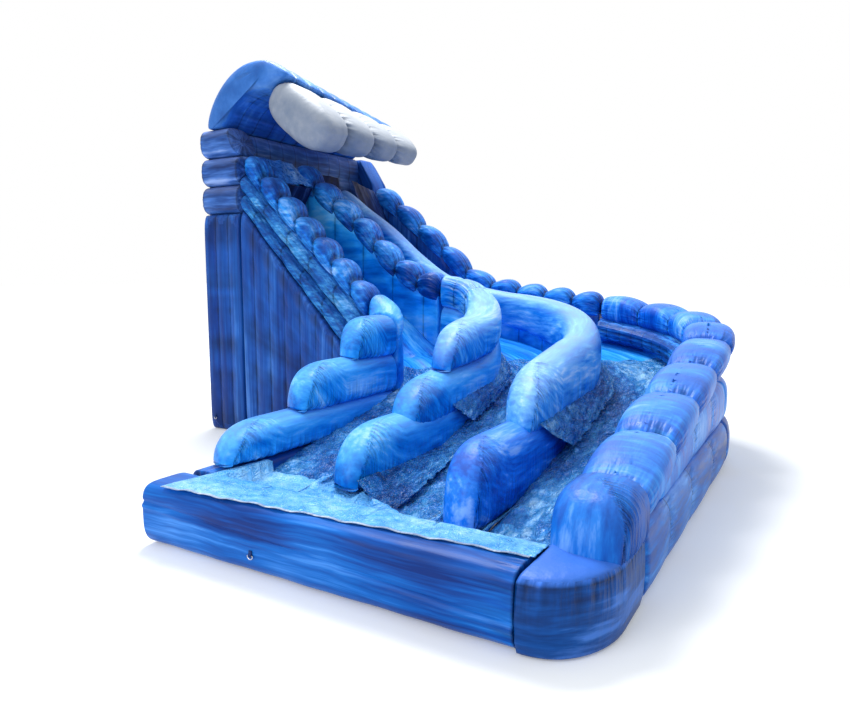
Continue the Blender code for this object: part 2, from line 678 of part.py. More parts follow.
# Fittings
def bored(item, axis_point, axis, radius, length, cutters):
    """Cut a round hole along one axis."""
    shape = bmesh.new()
    bmesh.ops.create_cone(shape, cap_ends=True, segments=16, radius1=radius, radius2=radius,
                          depth=length)
    mesh = bpy.data.meshes.new(item.name + "_bore")
    shape.to_mesh(mesh)
    shape.free()
    cutter = bpy.data.objects.new(item.name + "_bore", mesh)
    cutter.location = axis_point
    cutter.rotation_euler = axis.to_track_quat("Z", "Y").to_euler()
    cutter.hide_render = True
    cutter.display_type = "WIRE"
    cutters.objects.link(cutter)
    cut = item.modifiers.new("Bore", "BOOLEAN")
    cut.operation = "DIFFERENCE"
    cut.solver = "EXACT"
    cut.object = cutter


def box(name, low, high, material, collection):
    shape = bmesh.new()
    bmesh.ops.create_cube(shape, size=1)
    for corner in shape.verts:
        corner.co = Vector([low[axis] + (high[axis] - low[axis]) * (corner.co[axis] + 0.5)
                            for axis in range(3)]) - MIDDLE
    mesh = bpy.data.meshes.new(name)
    shape.to_mesh(mesh)
    shape.free()
    return add_object(name, mesh, material, collection)


def anchor(name, x, face, collection, cutters, webbing, steel):
    """A sewn tab with a D-ring through it, on a flat upright face that looks to -Y."""
    bar = RING_WIRE + EYE_CLEARANCE
    centre = Vector((x, face - GAP - TAB_THICKNESS / 2, FITTING_HEIGHT))
    low = centre - Vector((TAB_WIDTH / 2, TAB_THICKNESS / 2, TAB_THICKNESS / 2))
    high = centre + Vector((TAB_WIDTH / 2, TAB_THICKNESS / 2, TAB_HEIGHT))
    tab = box(f"{name}_tab", low, high, webbing, collection)
    bored(tab, centre - MIDDLE, Vector((1, 0, 0)), bar, 2 * TAB_WIDTH, cutters)
    curve = bpy.data.curves.new(f"{name}_ring", "CURVE")
    curve.dimensions = "3D"
    curve.bevel_depth = RING_WIRE
    curve.bevel_resolution = 1
    spline = curve.splines.new("POLY")
    spots = [Vector((RING_RADIUS * math.cos(angle), 0, -RING_RADIUS * math.sin(angle)))
             for angle in (math.pi * step / 10 for step in range(11))]
    spots += [Vector((-RING_RADIUS / 2, 0, 0)), Vector((RING_RADIUS / 2, 0, 0))]
    spline.points.add(len(spots) - 1)
    for point, spot in zip(spline.points, spots):
        point.co = (*spot, 1)
    spline.use_cyclic_u = True
    ring = bpy.data.objects.new(f"{name}_ring", curve)
    ring.location = centre - MIDDLE
    curve.materials.append(steel)
    collection.objects.link(ring)


def zip_closure(collection, liner_vinyl, steel):
    """The deflation zip in the pool's left tube, and the flap that hangs over it."""
    face = POOL_LEFT
    middle = (POOL_FRONT + POOL_DEPTH + EXIT_END) / 2 + FLAP_LENGTH
    start = middle - FLAP_LENGTH / 2
    end = middle + FLAP_LENGTH / 2
    track_low = FITTING_HEIGHT - ZIP_WIDTH
    box("zip_track", (face - GAP - ZIP_DEPTH, start, track_low),
        (face - GAP, end, FITTING_HEIGHT), steel, collection)
    box("zip_slider", (face - 2 * GAP - 2 * ZIP_DEPTH, start + ZIP_WIDTH, track_low),
        (face - 2 * GAP - ZIP_DEPTH, start + 2 * ZIP_WIDTH, FITTING_HEIGHT), steel, collection)
    outer = face - 3 * GAP - 2 * ZIP_DEPTH
    flap_top = FITTING_HEIGHT + ZIP_WIDTH
    outline = [(face - GAP, flap_top + FLAP_THICKNESS), (face - GAP, flap_top),
               (outer, flap_top), (outer, flap_top - FLAP_HEIGHT),
               (outer - FLAP_THICKNESS, flap_top - FLAP_HEIGHT),
               (outer - FLAP_THICKNESS, flap_top + FLAP_THICKNESS)]
    rings = [[Vector((x, y, z)) for x, z in outline] for y in (start, end)]
    lofted("zip_flap", rings, liner_vinyl, collection)


def inflation_sleeve(collection, vinyl):
    """The open cloth tube behind the tower, where a blower would be tied on."""
    y = SLOPE_LINE + SLOPE_PITCH
    rear = TOWER_BACK - RIB_DEPTH - GAP
    shape = bmesh.new()
    bmesh.ops.create_cone(shape, cap_ends=False, segments=16, radius1=SLEEVE_RADIUS,
                          radius2=SLEEVE_RADIUS, depth=SLEEVE_LENGTH)
    mesh = bpy.data.meshes.new("inflation_sleeve")
    shape.to_mesh(mesh)
    shape.free()
    sleeve = add_object("inflation_sleeve", mesh, vinyl, collection)
    sleeve.rotation_euler = (0, math.pi / 2, 0)
    sleeve.location = Vector((rear - SLEEVE_LENGTH / 2, y, SLEEVE_RADIUS + GAP)) - MIDDLE
    wall = sleeve.modifiers.new("Sleeve wall", "SOLIDIFY")
    wall.thickness = SLEEVE_WALL
    wall.offset = -1


def build():
    clear_scene()
    collection = bpy.data.collections.new("inflatable_water_slide")
    cutters = bpy.data.collections.new("cutters")
    bpy.context.scene.collection.children.link(collection)
    bpy.context.scene.collection.children.link(cutters)
    vinyl = make_material("marbled_blue_vinyl", SKY_BLUE)
    deep_vinyl = make_material("deep_blue_vinyl", DEEP_BLUE)
    liner_vinyl = make_material("liner_vinyl", LINER_BLUE)
    foam = make_material("white_vinyl", FOAM_WHITE)
    steel = make_material("steel", STEEL_GREY, STEEL_ROUGHNESS, 1.0)
    lane_beds(collection, vinyl)
    inner_guard_slope(collection, vinyl, deep_vinyl)
    scalloped_guard("divider_1_slope_guard", 1, DIVIDER_1_TOP_SHARES, 0, TURN_K, 7, collection, vinyl)
    plain_guard("divider_2_slope_guard", 2, DIVIDER_2_TOP_SHARES, 0, TURN_K, collection, vinyl)
    scalloped_guard("outer_slope_guard", 3, OUTER_TOP_SHARES, 0, TURN_K, 9, collection, vinyl)
    turn_guards(collection, vinyl)
    exit_cushions(collection, vinyl)
    tiers(collection, vinyl)
    tower(collection, deep_vinyl, foam)
    climbing_mat(collection, liner_vinyl)
    pool(collection, vinyl, liner_vinyl)
    anchor("front_anchor", EXIT_LINE + EXIT_PITCH, POOL_FRONT, collection, cutters,
           liner_vinyl, steel)
    rib_middle = TOWER_BACK + RIB_PITCH / 2
    anchor("tower_anchor", rib_middle, SLOPE_LINE - PANEL_OUT - RIB_DEPTH, collection, cutters,
           liner_vinyl, steel)
    zip_closure(collection, liner_vinyl, steel)
    inflation_sleeve(collection, vinyl)


build()
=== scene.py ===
"""Inflatable water slide: a tower with a curling crest, three curved channels and a splash pool.

The sections follow the slide as it is put together, from the beds up to the crest, and then to
the pool and the fittings. Metres, +Z up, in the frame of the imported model.
"""

import math

import bpy
import numpy as np
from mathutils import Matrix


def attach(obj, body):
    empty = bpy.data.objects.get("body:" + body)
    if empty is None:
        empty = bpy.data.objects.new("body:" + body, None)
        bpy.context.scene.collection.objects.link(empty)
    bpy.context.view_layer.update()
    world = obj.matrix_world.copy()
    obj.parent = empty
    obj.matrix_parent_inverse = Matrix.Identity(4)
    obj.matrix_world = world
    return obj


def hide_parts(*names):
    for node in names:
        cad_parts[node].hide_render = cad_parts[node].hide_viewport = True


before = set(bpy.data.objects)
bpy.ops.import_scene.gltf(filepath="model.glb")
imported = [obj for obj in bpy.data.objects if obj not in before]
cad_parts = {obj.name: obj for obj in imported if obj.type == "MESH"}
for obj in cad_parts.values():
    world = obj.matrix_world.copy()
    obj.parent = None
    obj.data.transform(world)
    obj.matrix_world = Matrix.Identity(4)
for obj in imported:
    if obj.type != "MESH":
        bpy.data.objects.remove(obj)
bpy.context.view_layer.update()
bpy.context.scene.view_settings.view_transform = "Standard"


# Camera
# It stands before the pool, a little above head height, and looks up the channels to the tower.
bpy.ops.object.select_all(action="DESELECT")
bpy.ops.object.camera_add(
    location=(5.5845, -8.503, 2.756),
    rotation=(math.pi / 2 - math.radians(7.227), 0, math.radians(30.79)))
bpy.context.object.data.lens = 29.22
bpy.context.object.data.sensor_width = 36
bpy.context.scene.camera = bpy.context.object


# Floor and light
# A plain pale floor that shows white where nothing shades it, a wide lamp high behind the slide's
# left side, a weaker one before it, and an even pale sky.
def paint(red, green, blue):
    """Linear colour of a paint that shows as these sRGB values."""
    shares = [value / 255 for value in (red, green, blue)]
    return tuple(((s + 0.055) / 1.055) ** 2.4 if s > 0.04 else s / 12.92 for s in shares)


def add_node(tree, kind, links=(), **settings):
    """A shader node with its settings, and its inputs linked or set by name or number."""
    node = tree.nodes.new("ShaderNode" + kind)
    for key, value in settings.items():
        setattr(node, key, value)
    for socket, source in links:
        if isinstance(source, bpy.types.NodeSocket):
            tree.links.new(source, node.inputs[socket])
        else:
            node.inputs[socket].default_value = source
    return node


def calc(tree, operation, *values):
    """Result of an operation on numbers or on other nodes' outputs."""
    return add_node(tree, "Math", enumerate(values), operation=operation).outputs[0]


def remap(tree, value, first, last, new_first, new_last):
    """A value between two limits, moved to its place between two others."""
    return add_node(tree, "MapRange", [("Value", value), ("From Min", first), ("From Max", last),
                                       ("To Min", new_first), ("To Max", new_last)]).outputs[0]


def sight_ray(tree):
    """1 where the camera sees the surface straight, in metal or through glass."""
    path = add_node(tree, "LightPath").outputs
    seen = calc(tree, "MAXIMUM", path["Is Camera Ray"], path["Is Glossy Ray"])
    return calc(tree, "MAXIMUM", seen, path["Is Transmission Ray"])


world = bpy.data.worlds.new("studio_sky")
bpy.context.scene.world = world
world.use_nodes = True
tree = world.node_tree
tree.nodes.clear()
sky = add_node(tree, "Background", [(0, (0.90, 0.96, 1.0, 1)), (1, 0.80)])
white = add_node(tree, "Background", [(0, (1, 1, 1, 1)), (1, 1.0)])
both = add_node(
    tree, "MixShader", [(0, sight_ray(tree)), (1, sky.outputs[0]), (2, white.outputs[0])])
add_node(tree, "OutputWorld", [(0, both.outputs[0])])

bpy.ops.object.select_all(action="DESELECT")
bpy.ops.mesh.primitive_plane_add(size=240, location=(0, 0, -0.002))
floor = bpy.context.object
floor.name = "floor"
floor_paint = bpy.data.materials.new("floor_paint")
floor_paint.use_nodes = True
tree = floor_paint.node_tree
tree.nodes.clear()
matt = add_node(tree, "BsdfDiffuse", [(0, (0.88, 0.88, 0.88, 1))])
spot = add_node(tree, "TexCoord").outputs["Object"]
away = add_node(tree, "VectorMath", [(0, spot)], operation="LENGTH").outputs["Value"]
near_glow, far_glow = 0.16, 0.50
level = remap(tree, away, 5.5, 15.0, near_glow, far_glow)
glow = add_node(tree, "Emission", [(0, (1, 1, 1, 1)),
                                   (1, calc(tree, "MULTIPLY", sight_ray(tree), level))])
lifted = add_node(tree, "AddShader", [(0, matt.outputs[0]), (1, glow.outputs[0])])
add_node(tree, "OutputMaterial", [(0, lifted.outputs[0])])
floor.data.materials.append(floor_paint)

for name, spot, aim, size, power in (("high_lamp", (-3, 3, 14), (0.5, -0.5, 1.0), 6, 2300),
                                     ("front_lamp", (-1, -15, 7), (0.5, 0, 1.5), 8, 800)):
    bpy.ops.object.select_all(action="DESELECT")
    bpy.ops.object.light_add(type="AREA", location=spot)
    lamp = bpy.context.object
    lamp.name = name
    lamp.data.size = size
    lamp.data.energy = power
    flat = math.hypot(spot[0] - aim[0], spot[1] - aim[1])
    lamp.rotation_euler = (math.atan2(flat, spot[2] - aim[2]), 0,
                           math.atan2(spot[0] - aim[0], -(spot[1] - aim[1])))


# Sliding beds
# Each channel has one long bed, an air chamber of marbled vinyl that stands on the ground. Its
# upper sheet is the sliding face, smooth on the slope and slack, with many folds, near the pool.
MIDDLE = np.array([0.8325, 0.605, 0.0])
TOWER_FRONT, POOL_EDGE = -2.10, -2.35
SLOPE_LINES = (0.74, 1.99, 3.24, 4.49)
TURN_RADII = (0.35, 1.15, 1.90, 2.10)
EXIT_LINES = (0.75, 2.04, 3.33, 4.88)
DECK_HEIGHT = 3.70
START_TOP = 4.75
LANES = ("inner", "middle", "outer")
BED_SHARES = ((1.0, 0.908, 0.805, 0.700, 0.595, 0.492, 0.392,
               0.373, 0.354, 0.335, 0.316, 0.297, 0.278,
               0.254, 0.230, 0.205, 0.181, 0.157, 0.135),
              (1.0, 0.887, 0.768, 0.649, 0.541, 0.465, 0.419,
               0.400, 0.378, 0.357, 0.330, 0.303, 0.276,
               0.238, 0.200, 0.162, 0.124, 0.092, 0.068),
              (1.0, 0.851, 0.703, 0.554, 0.465, 0.432, 0.405,
               0.384, 0.362, 0.338, 0.311, 0.284, 0.257,
               0.216, 0.178, 0.146, 0.114, 0.086, 0.068))


def placed(x, y, z):
    """Points in the frame of the scene, whose middle is the slide's own middle."""
    return np.stack([x, y, z], 1) - MIDDLE


def beside(line, station, offset, height):
    """Points beside one of the four lines that the guards follow.

    A line has a slope, a turn and an exit, with six stations to each.
    """
    radius = TURN_RADII[line]
    middle_x = EXIT_LINES[line] - radius
    middle_y = SLOPE_LINES[line] - radius
    slope = np.clip(station / 6, 0, 1)
    turn = np.clip((station - 6) / 6, 0, 1) * np.pi / 2
    leave = np.clip((station - 12) / 6, 0, 2)
    x = TOWER_FRONT + (middle_x - TOWER_FRONT) * slope + (radius + offset) * np.sin(turn)
    y = middle_y + (radius + offset) * np.cos(turn) - (middle_y - POOL_EDGE) * leave
    return placed(x, y, height + 0 * x)


def run_of(line, station):
    """Metres along a guard line, from the tower to a station."""
    radius = TURN_RADII[line]
    slope = EXIT_LINES[line] - radius - TOWER_FRONT
    leave = SLOPE_LINES[line] - radius - POOL_EDGE
    return (slope * np.clip(station / 6, 0, 1) + radius * np.clip((station - 6) / 6, 0, 1)
            * np.pi / 2 + leave * np.clip((station - 12) / 6, 0, 2))


def station_of(line, run):
    table = np.linspace(0, 22, 2201)
    return np.interp(run, run_of(line, table), table)


def curve_of(shares, station, first=0):
    """Smooth curve through a table of shares, one for each station."""
    shares = np.array(shares)
    place = np.clip(station - first, 0, len(shares) - 1 - 1e-9)
    low = np.floor(place).astype(int)
    t = place - low
    before, here, after, beyond = (shares[np.clip(low + step, 0, len(shares) - 1)]
                                   for step in (-1, 0, 1, 2))
    return 0.5 * (2 * here + (after - before) * t
                  + (2 * before - 5 * here + 4 * after - beyond) * t ** 2
                  + (3 * here - before - 3 * after + beyond) * t ** 3)


def half_of(station):
    return 0.20 + 0.09 * np.clip((station - 6) / 6, 0, 1)


def rows_of(start, end, seams=(), noses=(0.05, 0.05), step=0.05):
    """Where a skin's rows lie along it, closer at its seams, and how full it is at each."""
    first = start + noses[0]
    last = end - noses[1]
    marks = [first] + [seam for seam in seams if first + 0.02 < seam < last - 0.02] + [last]
    runs = []
    for low, high in zip(marks, marks[1:]):
        count = max(3, round((high - low) / step))
        share = np.arange(count) / count
        runs.append(low + (high - low) * (share - 0.1 * np.sin(2 * np.pi * share)))
    swing = np.linspace(0, np.pi / 2, 9)[1:]
    out = np.sin(swing) ** 0.8
    size = np.clip(np.cos(swing), 0, 1) ** 0.8
    size[-1] = 0
    runs = np.concatenate([(first - noses[0] * out)[::-1], *runs, [last], last + noses[1] * out])
    sizes = np.concatenate([size[::-1], np.ones(len(runs) - 16), size])
    return runs, sizes


def oval(turn, aspect=1.0, square=1.0, foot=None):
    """Evenly spaced unit section, an ellipse where square is 1 and nearly a box where it is 0.2.

    Its lower half takes the squareness of its foot, where one is given.
    """
    angle = np.linspace(0, 2 * np.pi, 4001)
    square = np.where(np.sin(angle) < 0, foot or square, square)
    u = np.sign(np.cos(angle)) * np.abs(np.cos(angle)) ** square
    v = np.sign(np.sin(angle)) * np.abs(np.sin(angle)) ** square
    length = np.concatenate([[0], np.cumsum(np.hypot(np.diff(u) * aspect, np.diff(v)))])
    spot = turn / (2 * np.pi) * length[-1]
    return np.interp(spot, length, u), np.interp(spot, length, v)


def fullness(run, marks, power=0.45, lean=1.0):
    """How full a chamber is between its seams: 1 at its crown, and 0 at each mark.

    A lean over 1 brings the crown nearer to the lower seam, as on steps.
    """
    phase = np.interp(run, marks, np.arange(len(marks)))
    return np.abs(np.sin(np.pi * (phase % 1) ** lean)) ** power


def creases(across, along, size, seed, folds=7):
    """Sharp folds of a crumpled sheet, from 0 to 1, about one size apart."""
    chance = np.random.default_rng(seed)
    total = np.zeros_like(across)
    for _ in range(folds):
        angle, phase, other = chance.uniform(0, 2 * np.pi, 3)
        wave = size * chance.uniform(0.7, 2.2)
        bend = 0.5 * size * np.sin((across * math.sin(other) + along * math.cos(other))
                                   / (1.3 * size) + phase)
        walk = (across * math.cos(angle) + along * math.sin(angle) + bend) / wave
        fade = 0.5 + 0.5 * np.sin(walk * 0.37 + other * 3)
        total += (1 - np.abs(np.sin(np.pi * walk + phase))) ** 1.6 * fade
    return total / folds * 2


def pleats(along, seed):
    """Uneven gathers from -1 to 1 along a seam, a whole number of them for each turn."""
    return (0.6 * np.sin(along + 1.2 * np.sin(along / 4 + seed))
            + 0.4 * np.sin(along * 2 + 1.7 * np.sin(along / 2 + 2 * seed)))


def named(name):
    """The piece that was just added, under its name."""
    piece = bpy.context.object
    piece.name = piece.data.name = name
    return piece


def values_of(mesh, what="co"):
    """The mesh's points, or what else is asked of each, as rows."""
    values = np.empty(len(mesh.vertices) * 3)
    mesh.vertices.foreach_get(what, values)
    return values.reshape(-1, 3)


def turn_outward():
    bpy.ops.object.mode_set(mode="EDIT")
    bpy.ops.mesh.select_all(action="SELECT")
    bpy.ops.mesh.normals_make_consistent(inside=False)
    bpy.ops.object.mode_set(mode="OBJECT")


def lay_out(mesh, lay, from_seam, gather):
    """Puts down where the print runs, and where each seam gathers the cloth."""
    for name, kind, values in (("lay", "FLOAT_VECTOR", lay), ("gather", "FLOAT_VECTOR", gather),
                               ("seam", "FLOAT", from_seam)):
        field = mesh.attributes.new(name, kind, "POINT").data
        field.foreach_set("vector" if kind == "FLOAT_VECTOR" else "value", values.ravel())


NO_SEAM = 9.0
PLEAT = 0.075
PRINT_STEP = np.array([7.3, 3.1, 1.7])


def sewn_skin(name, columns, rows, place, seams=(), pucker=0.012, reach=0.09, folds=24, seed=0):
    """A closed skin that starts as a ball, whose rows are laid out by place and drawn in at seams.

    place gives points, offset and height for the run, the size and the turn of every point, and
    where a seam runs askew also the way from it and along it.
    """
    runs, sizes = rows
    bpy.ops.object.select_all(action="DESELECT")
    bpy.ops.mesh.primitive_uv_sphere_add(segments=columns, ring_count=len(runs) - 1)
    piece = named(name)
    mesh = piece.data
    ball = values_of(mesh)
    row = np.rint(np.arccos(np.clip(ball[:, 2], -1, 1)) / np.pi * (len(runs) - 1)).astype(int)
    column = np.rint(np.arctan2(ball[:, 1], ball[:, 0]) / (2 * np.pi) * columns) % columns
    turn = 2 * np.pi * column / columns
    run = runs[row]
    points, offset, height, *askew = place(run, sizes[row], turn)
    mesh.vertices.foreach_set("co", points.ravel())
    turn_outward()
    mesh.update()
    from_seam = np.min([np.abs(run - seam) for seam in seams] + [np.full(len(run), NO_SEAM)], 0)
    gather = np.stack([0.3 * np.cos(turn), 0.3 * np.sin(turn), from_seam + 1.9 * seed], 1)
    wave = pleats(folds * turn, seed)
    if askew:
        from_askew, along = askew
        nearer = from_askew < from_seam
        from_seam = np.minimum(from_seam, from_askew)
        gather[nearer] = np.stack([along, 0 * along, from_askew + 1.9 * seed], 1)[nearer]
        wave = np.where(nearer, pleats(along * 2 * np.pi / PLEAT, seed), wave)
    draw = pucker * np.exp(-from_seam / reach) * (1 - np.exp(-from_seam / 0.02))
    draw = draw * (0.45 + 0.75 * wave)
    points = points - values_of(mesh, "normal") * draw[:, None]
    mesh.vertices.foreach_set("co", points.ravel())
    lay_out(mesh, np.stack([run, offset, height], 1) + PRINT_STEP * seed, from_seam, gather)
    mesh.update()
    bpy.ops.object.shade_smooth()
    return piece


def noise(tree, spot, scale, detail, roughness=0.5, distortion=0.0):
    return add_node(tree, "TexNoise", [("Vector", spot), ("Scale", scale), ("Detail", detail),
                                       ("Roughness", roughness),
                                       ("Distortion", distortion)]).outputs


def scaled(tree, spot, scale):
    return add_node(tree, "Mapping", [("Vector", spot), ("Scale", scale)]).outputs[0]


def sewn_vinyl(name, deep, blue, light, pale, grain=(0.45, 4.0, 4.0), painted_top_light=0.25, fold=0.35,
               crumple=0.0, rough=0.36, wander=0.14, gathers=1.0, sky=(120, 160, 246),
               gloss=0.14):
    """Coated cloth with a marbled print whose streaks run along the length, its puckers, painted
    light on its tops and painted shade at its seams.
    """
    vinyl = bpy.data.materials.new(name)
    vinyl.use_nodes = True
    tree = vinyl.node_tree
    shader = tree.nodes["Principled BSDF"]
    lay, gather = (add_node(tree, "Attribute", attribute_name=field).outputs["Vector"]
                   for field in ("lay", "gather"))
    seam = add_node(tree, "Attribute", attribute_name="seam").outputs["Fac"]

    drift = noise(tree, lay, 0.9, 2.0)["Color"]
    shift = add_node(tree, "VectorMath", [(0, drift), (1, (0.5, 0.5, 0.5))], operation="SUBTRACT")
    shift = add_node(
        tree, "VectorMath", [(0, shift.outputs[0]), ("Scale", wander)], operation="SCALE")
    bent = add_node(tree, "VectorMath", [(0, lay), (1, shift.outputs[0])],
                    operation="ADD").outputs[0]
    long_way = scaled(tree, bent, grain)
    streak = noise(tree, long_way, 1.0, 3.0, 0.55)["Fac"]
    fine = noise(tree, long_way, 6.0, 3.0, 0.6)["Fac"]
    patch = calc(tree, "MULTIPLY", noise(tree, bent, 1.0, 1.0)["Fac"], 0.7)
    tone = calc(tree, "MULTIPLY_ADD", fine, 0.8, patch)
    tone = calc(tree, "MULTIPLY_ADD", streak, 1.0, tone)
    ramp = add_node(tree, "ValToRGB", [(0, calc(tree, "MULTIPLY", tone, 1 / 2.50))])
    stops = ramp.color_ramp.elements
    stops.remove(stops[1])
    stops[0].position = 0.40
    stops[0].color = (*paint(*deep), 1)
    for spot, colour in ((0.475, blue), (0.55, light), (0.635, pale)):
        stops.new(spot).color = (*paint(*colour), 1)

    # Faces that look up are blended towards the sky colour: painted light from above and a painted
    # reflection of the sky on the tops.
    facing = add_node(tree, "NewGeometry").outputs["Normal"]
    upward = add_node(tree, "SeparateXYZ", [(0, facing)]).outputs["Z"]
    colour = add_node(tree, "Mix", [("Factor", remap(tree, upward, 0.1, 1.0, 0.0, painted_top_light)),
                                    (6, ramp.outputs[0]), (7, (*paint(*sky), 1))],
                      data_type="RGBA").outputs[2]
    near = calc(tree, "POWER", remap(tree, seam, 0.0, 0.38, gathers, 0.0), 1.3)
    pleat = calc(
        tree, "SUBTRACT", noise(tree, scaled(tree, gather, (12.0, 12.0, 2.4)), 1.0, 2.0)["Fac"],
        0.5)
    pleat = calc(tree, "MULTIPLY", pleat, near)
    # Seams and the valleys of the gathers are darkened and the gathers' crests lightened: painted
    # shade and painted highlight.
    shade = remap(tree, seam, 0.002, 0.022, 0.55, 1.0)
    shade = calc(tree, "MAXIMUM", calc(tree, "MULTIPLY_ADD", pleat, 2.2, shade), 0.35)
    colour = add_node(tree, "Mix", [("Factor", 1.0), (6, colour), (7, shade)],
                      data_type="RGBA", blend_type="MULTIPLY").outputs[2]

    ridges = noise(tree, scaled(tree, lay, (2.0, 11.0, 11.0)), 1.0, 3.0, 0.55)["Fac"]
    height = calc(tree, "MULTIPLY_ADD", ridges, 0.16, calc(tree, "MULTIPLY", pleat, 1.5))
    if crumple:
        rumple = calc(tree, "SUBTRACT", noise(tree, lay, 8.0, 4.0, 0.6, 1.0)["Fac"], 0.5)
        height = calc(tree, "MULTIPLY_ADD", calc(tree, "ABSOLUTE", rumple), -crumple, height)
    bump = add_node(tree, "Bump", [("Strength", fold), ("Distance", 0.07), ("Height", height)])
    for socket, source in (("Base Color", colour), ("Normal", bump.outputs[0]),
                           ("Roughness", remap(tree, fine, 0.3, 0.7, rough - 0.08, rough + 0.10))):
        tree.links.new(source, shader.inputs[socket])
    shader.inputs["Specular IOR Level"].default_value = gloss
    return vinyl


def fit(piece, cloth, nodes):
    """Gives a padded piece its cloth, and says which nodes it stands for."""
    piece.data.materials.clear()
    piece.data.materials.append(cloth)
    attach(piece, "slide")
    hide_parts(*nodes)


bed_vinyl = sewn_vinyl(
    "bed_vinyl", (0, 84, 180), (4, 124, 224), (44, 164, 246), (120, 198, 252),
    grain=(0.22, 4.0, 1.0), painted_top_light=0.03, fold=0.25, rough=0.30)
exit_vinyl = sewn_vinyl(
    "exit_vinyl", (0, 74, 150), (10, 110, 192), (58, 150, 220), (156, 210, 248),
    grain=(1.0, 2.0, 1.0), painted_top_light=0.05, fold=1.0, crumple=2.4, rough=0.22, gloss=0.55)
# A dark navy cloth that stands for dark netting and paints the shadow in the channels' entries.
shadow_and_net_vinyl = sewn_vinyl(
    "shadow_and_net_vinyl", (4, 12, 46), (8, 22, 66), (14, 36, 92), (60, 90, 150), grain=(0.3, 9.0, 1.0),
    painted_top_light=0.0, fold=0.3, rough=0.5)


def across_at(turn, size):
    """Share of the way over a flat skin, the same above and below."""
    across = np.where(turn <= np.pi, turn / np.pi, 2 - turn / np.pi)
    return 0.5 + (across - 0.5) * size


for lane, word in enumerate(LANES):
    def place_bed(run, size, turn, lane=lane):
        station = station_of(lane, run)
        top = DECK_HEIGHT * curve_of(BED_SHARES[lane], station)
        across = across_at(turn, size)
        slack = np.clip((station - 8) / 5, 0, 1)
        tuck = half_of(station) + 0.002 - 0.045 * slack
        left = beside(lane, station, tuck, 0 * run)
        right = beside(lane + 1, station, -tuck, 0 * run)
        points = left + (right - left) * across[:, None]
        width = np.linalg.norm(right - left, axis=1)
        edge = np.clip((np.abs(2 * across - 1) - 0.5) / 0.5, 0, 1)
        folds = 0.014 * np.sin(across * width * 15 + 0.8 * np.sin(run * 2.2 + lane))
        folds += 0.095 * (creases(across * width, run, 0.19, 11 + lane) - 0.35) * slack
        folds += 0.030 * (creases(across * width, run, 0.08, 21 + lane) - 0.35) * slack
        dip = (0.05, 0.08, 0.18)[lane] * slack
        lift = top + (0.06 - dip) * edge ** 2 + folds * (1 - edge ** 4)
        height = np.where(turn <= np.pi, top / 2 + (lift - top / 2) * size, top / 2 * (1 - size))
        points[:, 2] = height
        return points, across * width, height

    start, end = run_of(lane, 0.0), run_of(lane, 18.0)
    bend = run_of(lane, 8.6)
    bed = sewn_skin(
        f"{word}_bed", 120, rows_of(start, end, (bend,), step=0.03), place_bed, seed=lane + 1)
    fit(bed, bed_vinyl,
        [f"{word}_lane_{part}_chamber" for part in ("slope", "turn", "exit")])
    bed.data.materials.append(exit_vinyl)
    bed.data.materials.append(shadow_and_net_vinyl)
    # The first metres of each bed take the dark cloth of the entry sheets: painted shadow in the
    # entry.
    shaded = (0.75, 0.1, 1.0)[lane]
    lay = bed.data.attributes["lay"].data
    for face in bed.data.polygons:
        run = max(lay[corner].vector[0] for corner in face.vertices) - PRINT_STEP[0] * (lane + 1)
        face.material_index = 1 if run > bend else 2 if run < shaded else 0


# Near guard of the slope
# Under its row of seven cushions lie two round tubes, and under these a side panel with upright
# baffles. Cross seams draw the tubes in every half metre.
INNER_TOP_SHARES = (1.0, 0.919, 0.838, 0.756, 0.675, 0.594, 0.513,
                    0.505, 0.495, 0.485, 0.475, 0.462, 0.452)
tube_vinyl = sewn_vinyl(
    "tube_vinyl", (2, 60, 136), (14, 92, 170), (56, 140, 206), (130, 184, 236),
    grain=(1.0, 5.0, 5.0), painted_top_light=0.12, fold=0.6)
cushion_vinyl = sewn_vinyl(
    "cushion_vinyl", (0, 50, 128), (4, 82, 172), (42, 132, 216), (140, 186, 244),
    grain=(0.5, 2.2, 2.2), painted_top_light=0.2, fold=0.8)
panel_vinyl = sewn_vinyl(
    "panel_vinyl", (8, 48, 120), (16, 64, 140), (26, 82, 162), (66, 120, 196),
    grain=(3.0, 3.0, 0.07), painted_top_light=0.1, fold=0.3, wander=0.08)


def below(tops, drop=0.0):
    """The height of a guard's top, or a drop below it, at any station."""
    return lambda k: START_TOP * curve_of(tops, k) - drop


def level(height):
    return lambda k: height + 0 * k


def guard_tube(name, line, first, last, bottom, top, half, noses=(0.05, 0.05), seams=(), draw=0.02,
               lean=0.0, step=0.035, columns=88, seed=0, folds=20):
    """A round tube that lies between two heights along a guard line, drawn in at its seams."""
    start, end = run_of(line, first), run_of(line, last)
    marks = np.array([start - 0.3, *seams, end + 0.3])
    if len(seams):
        marks[0] = min(marks[0], 2 * seams[0] - seams[1])

    def place(run, size, turn):
        station = station_of(line, run)
        u, v = oval(turn, 1.0, 0.85)
        low, high = bottom(station), top(station)
        full = fullness(run, marks) if len(seams) else 1
        wide = half(station) - draw * (1 - full)
        tall = (high - low) / 2 - draw * (1 - full)
        offset = lean + u * wide * size
        height = (low + high) / 2 + v * tall * size
        return beside(line, station, offset, height), offset, height

    return sewn_skin(name, columns, rows_of(start, end, seams, noses, step), place, seams,
                     folds=folds, seed=seed)


near_tubes_top = below(INNER_TOP_SHARES, 0.42)


def near_tubes_height(station):
    return 0.60 + 0.30 * station / 6


PANEL_LENGTH = 2.5


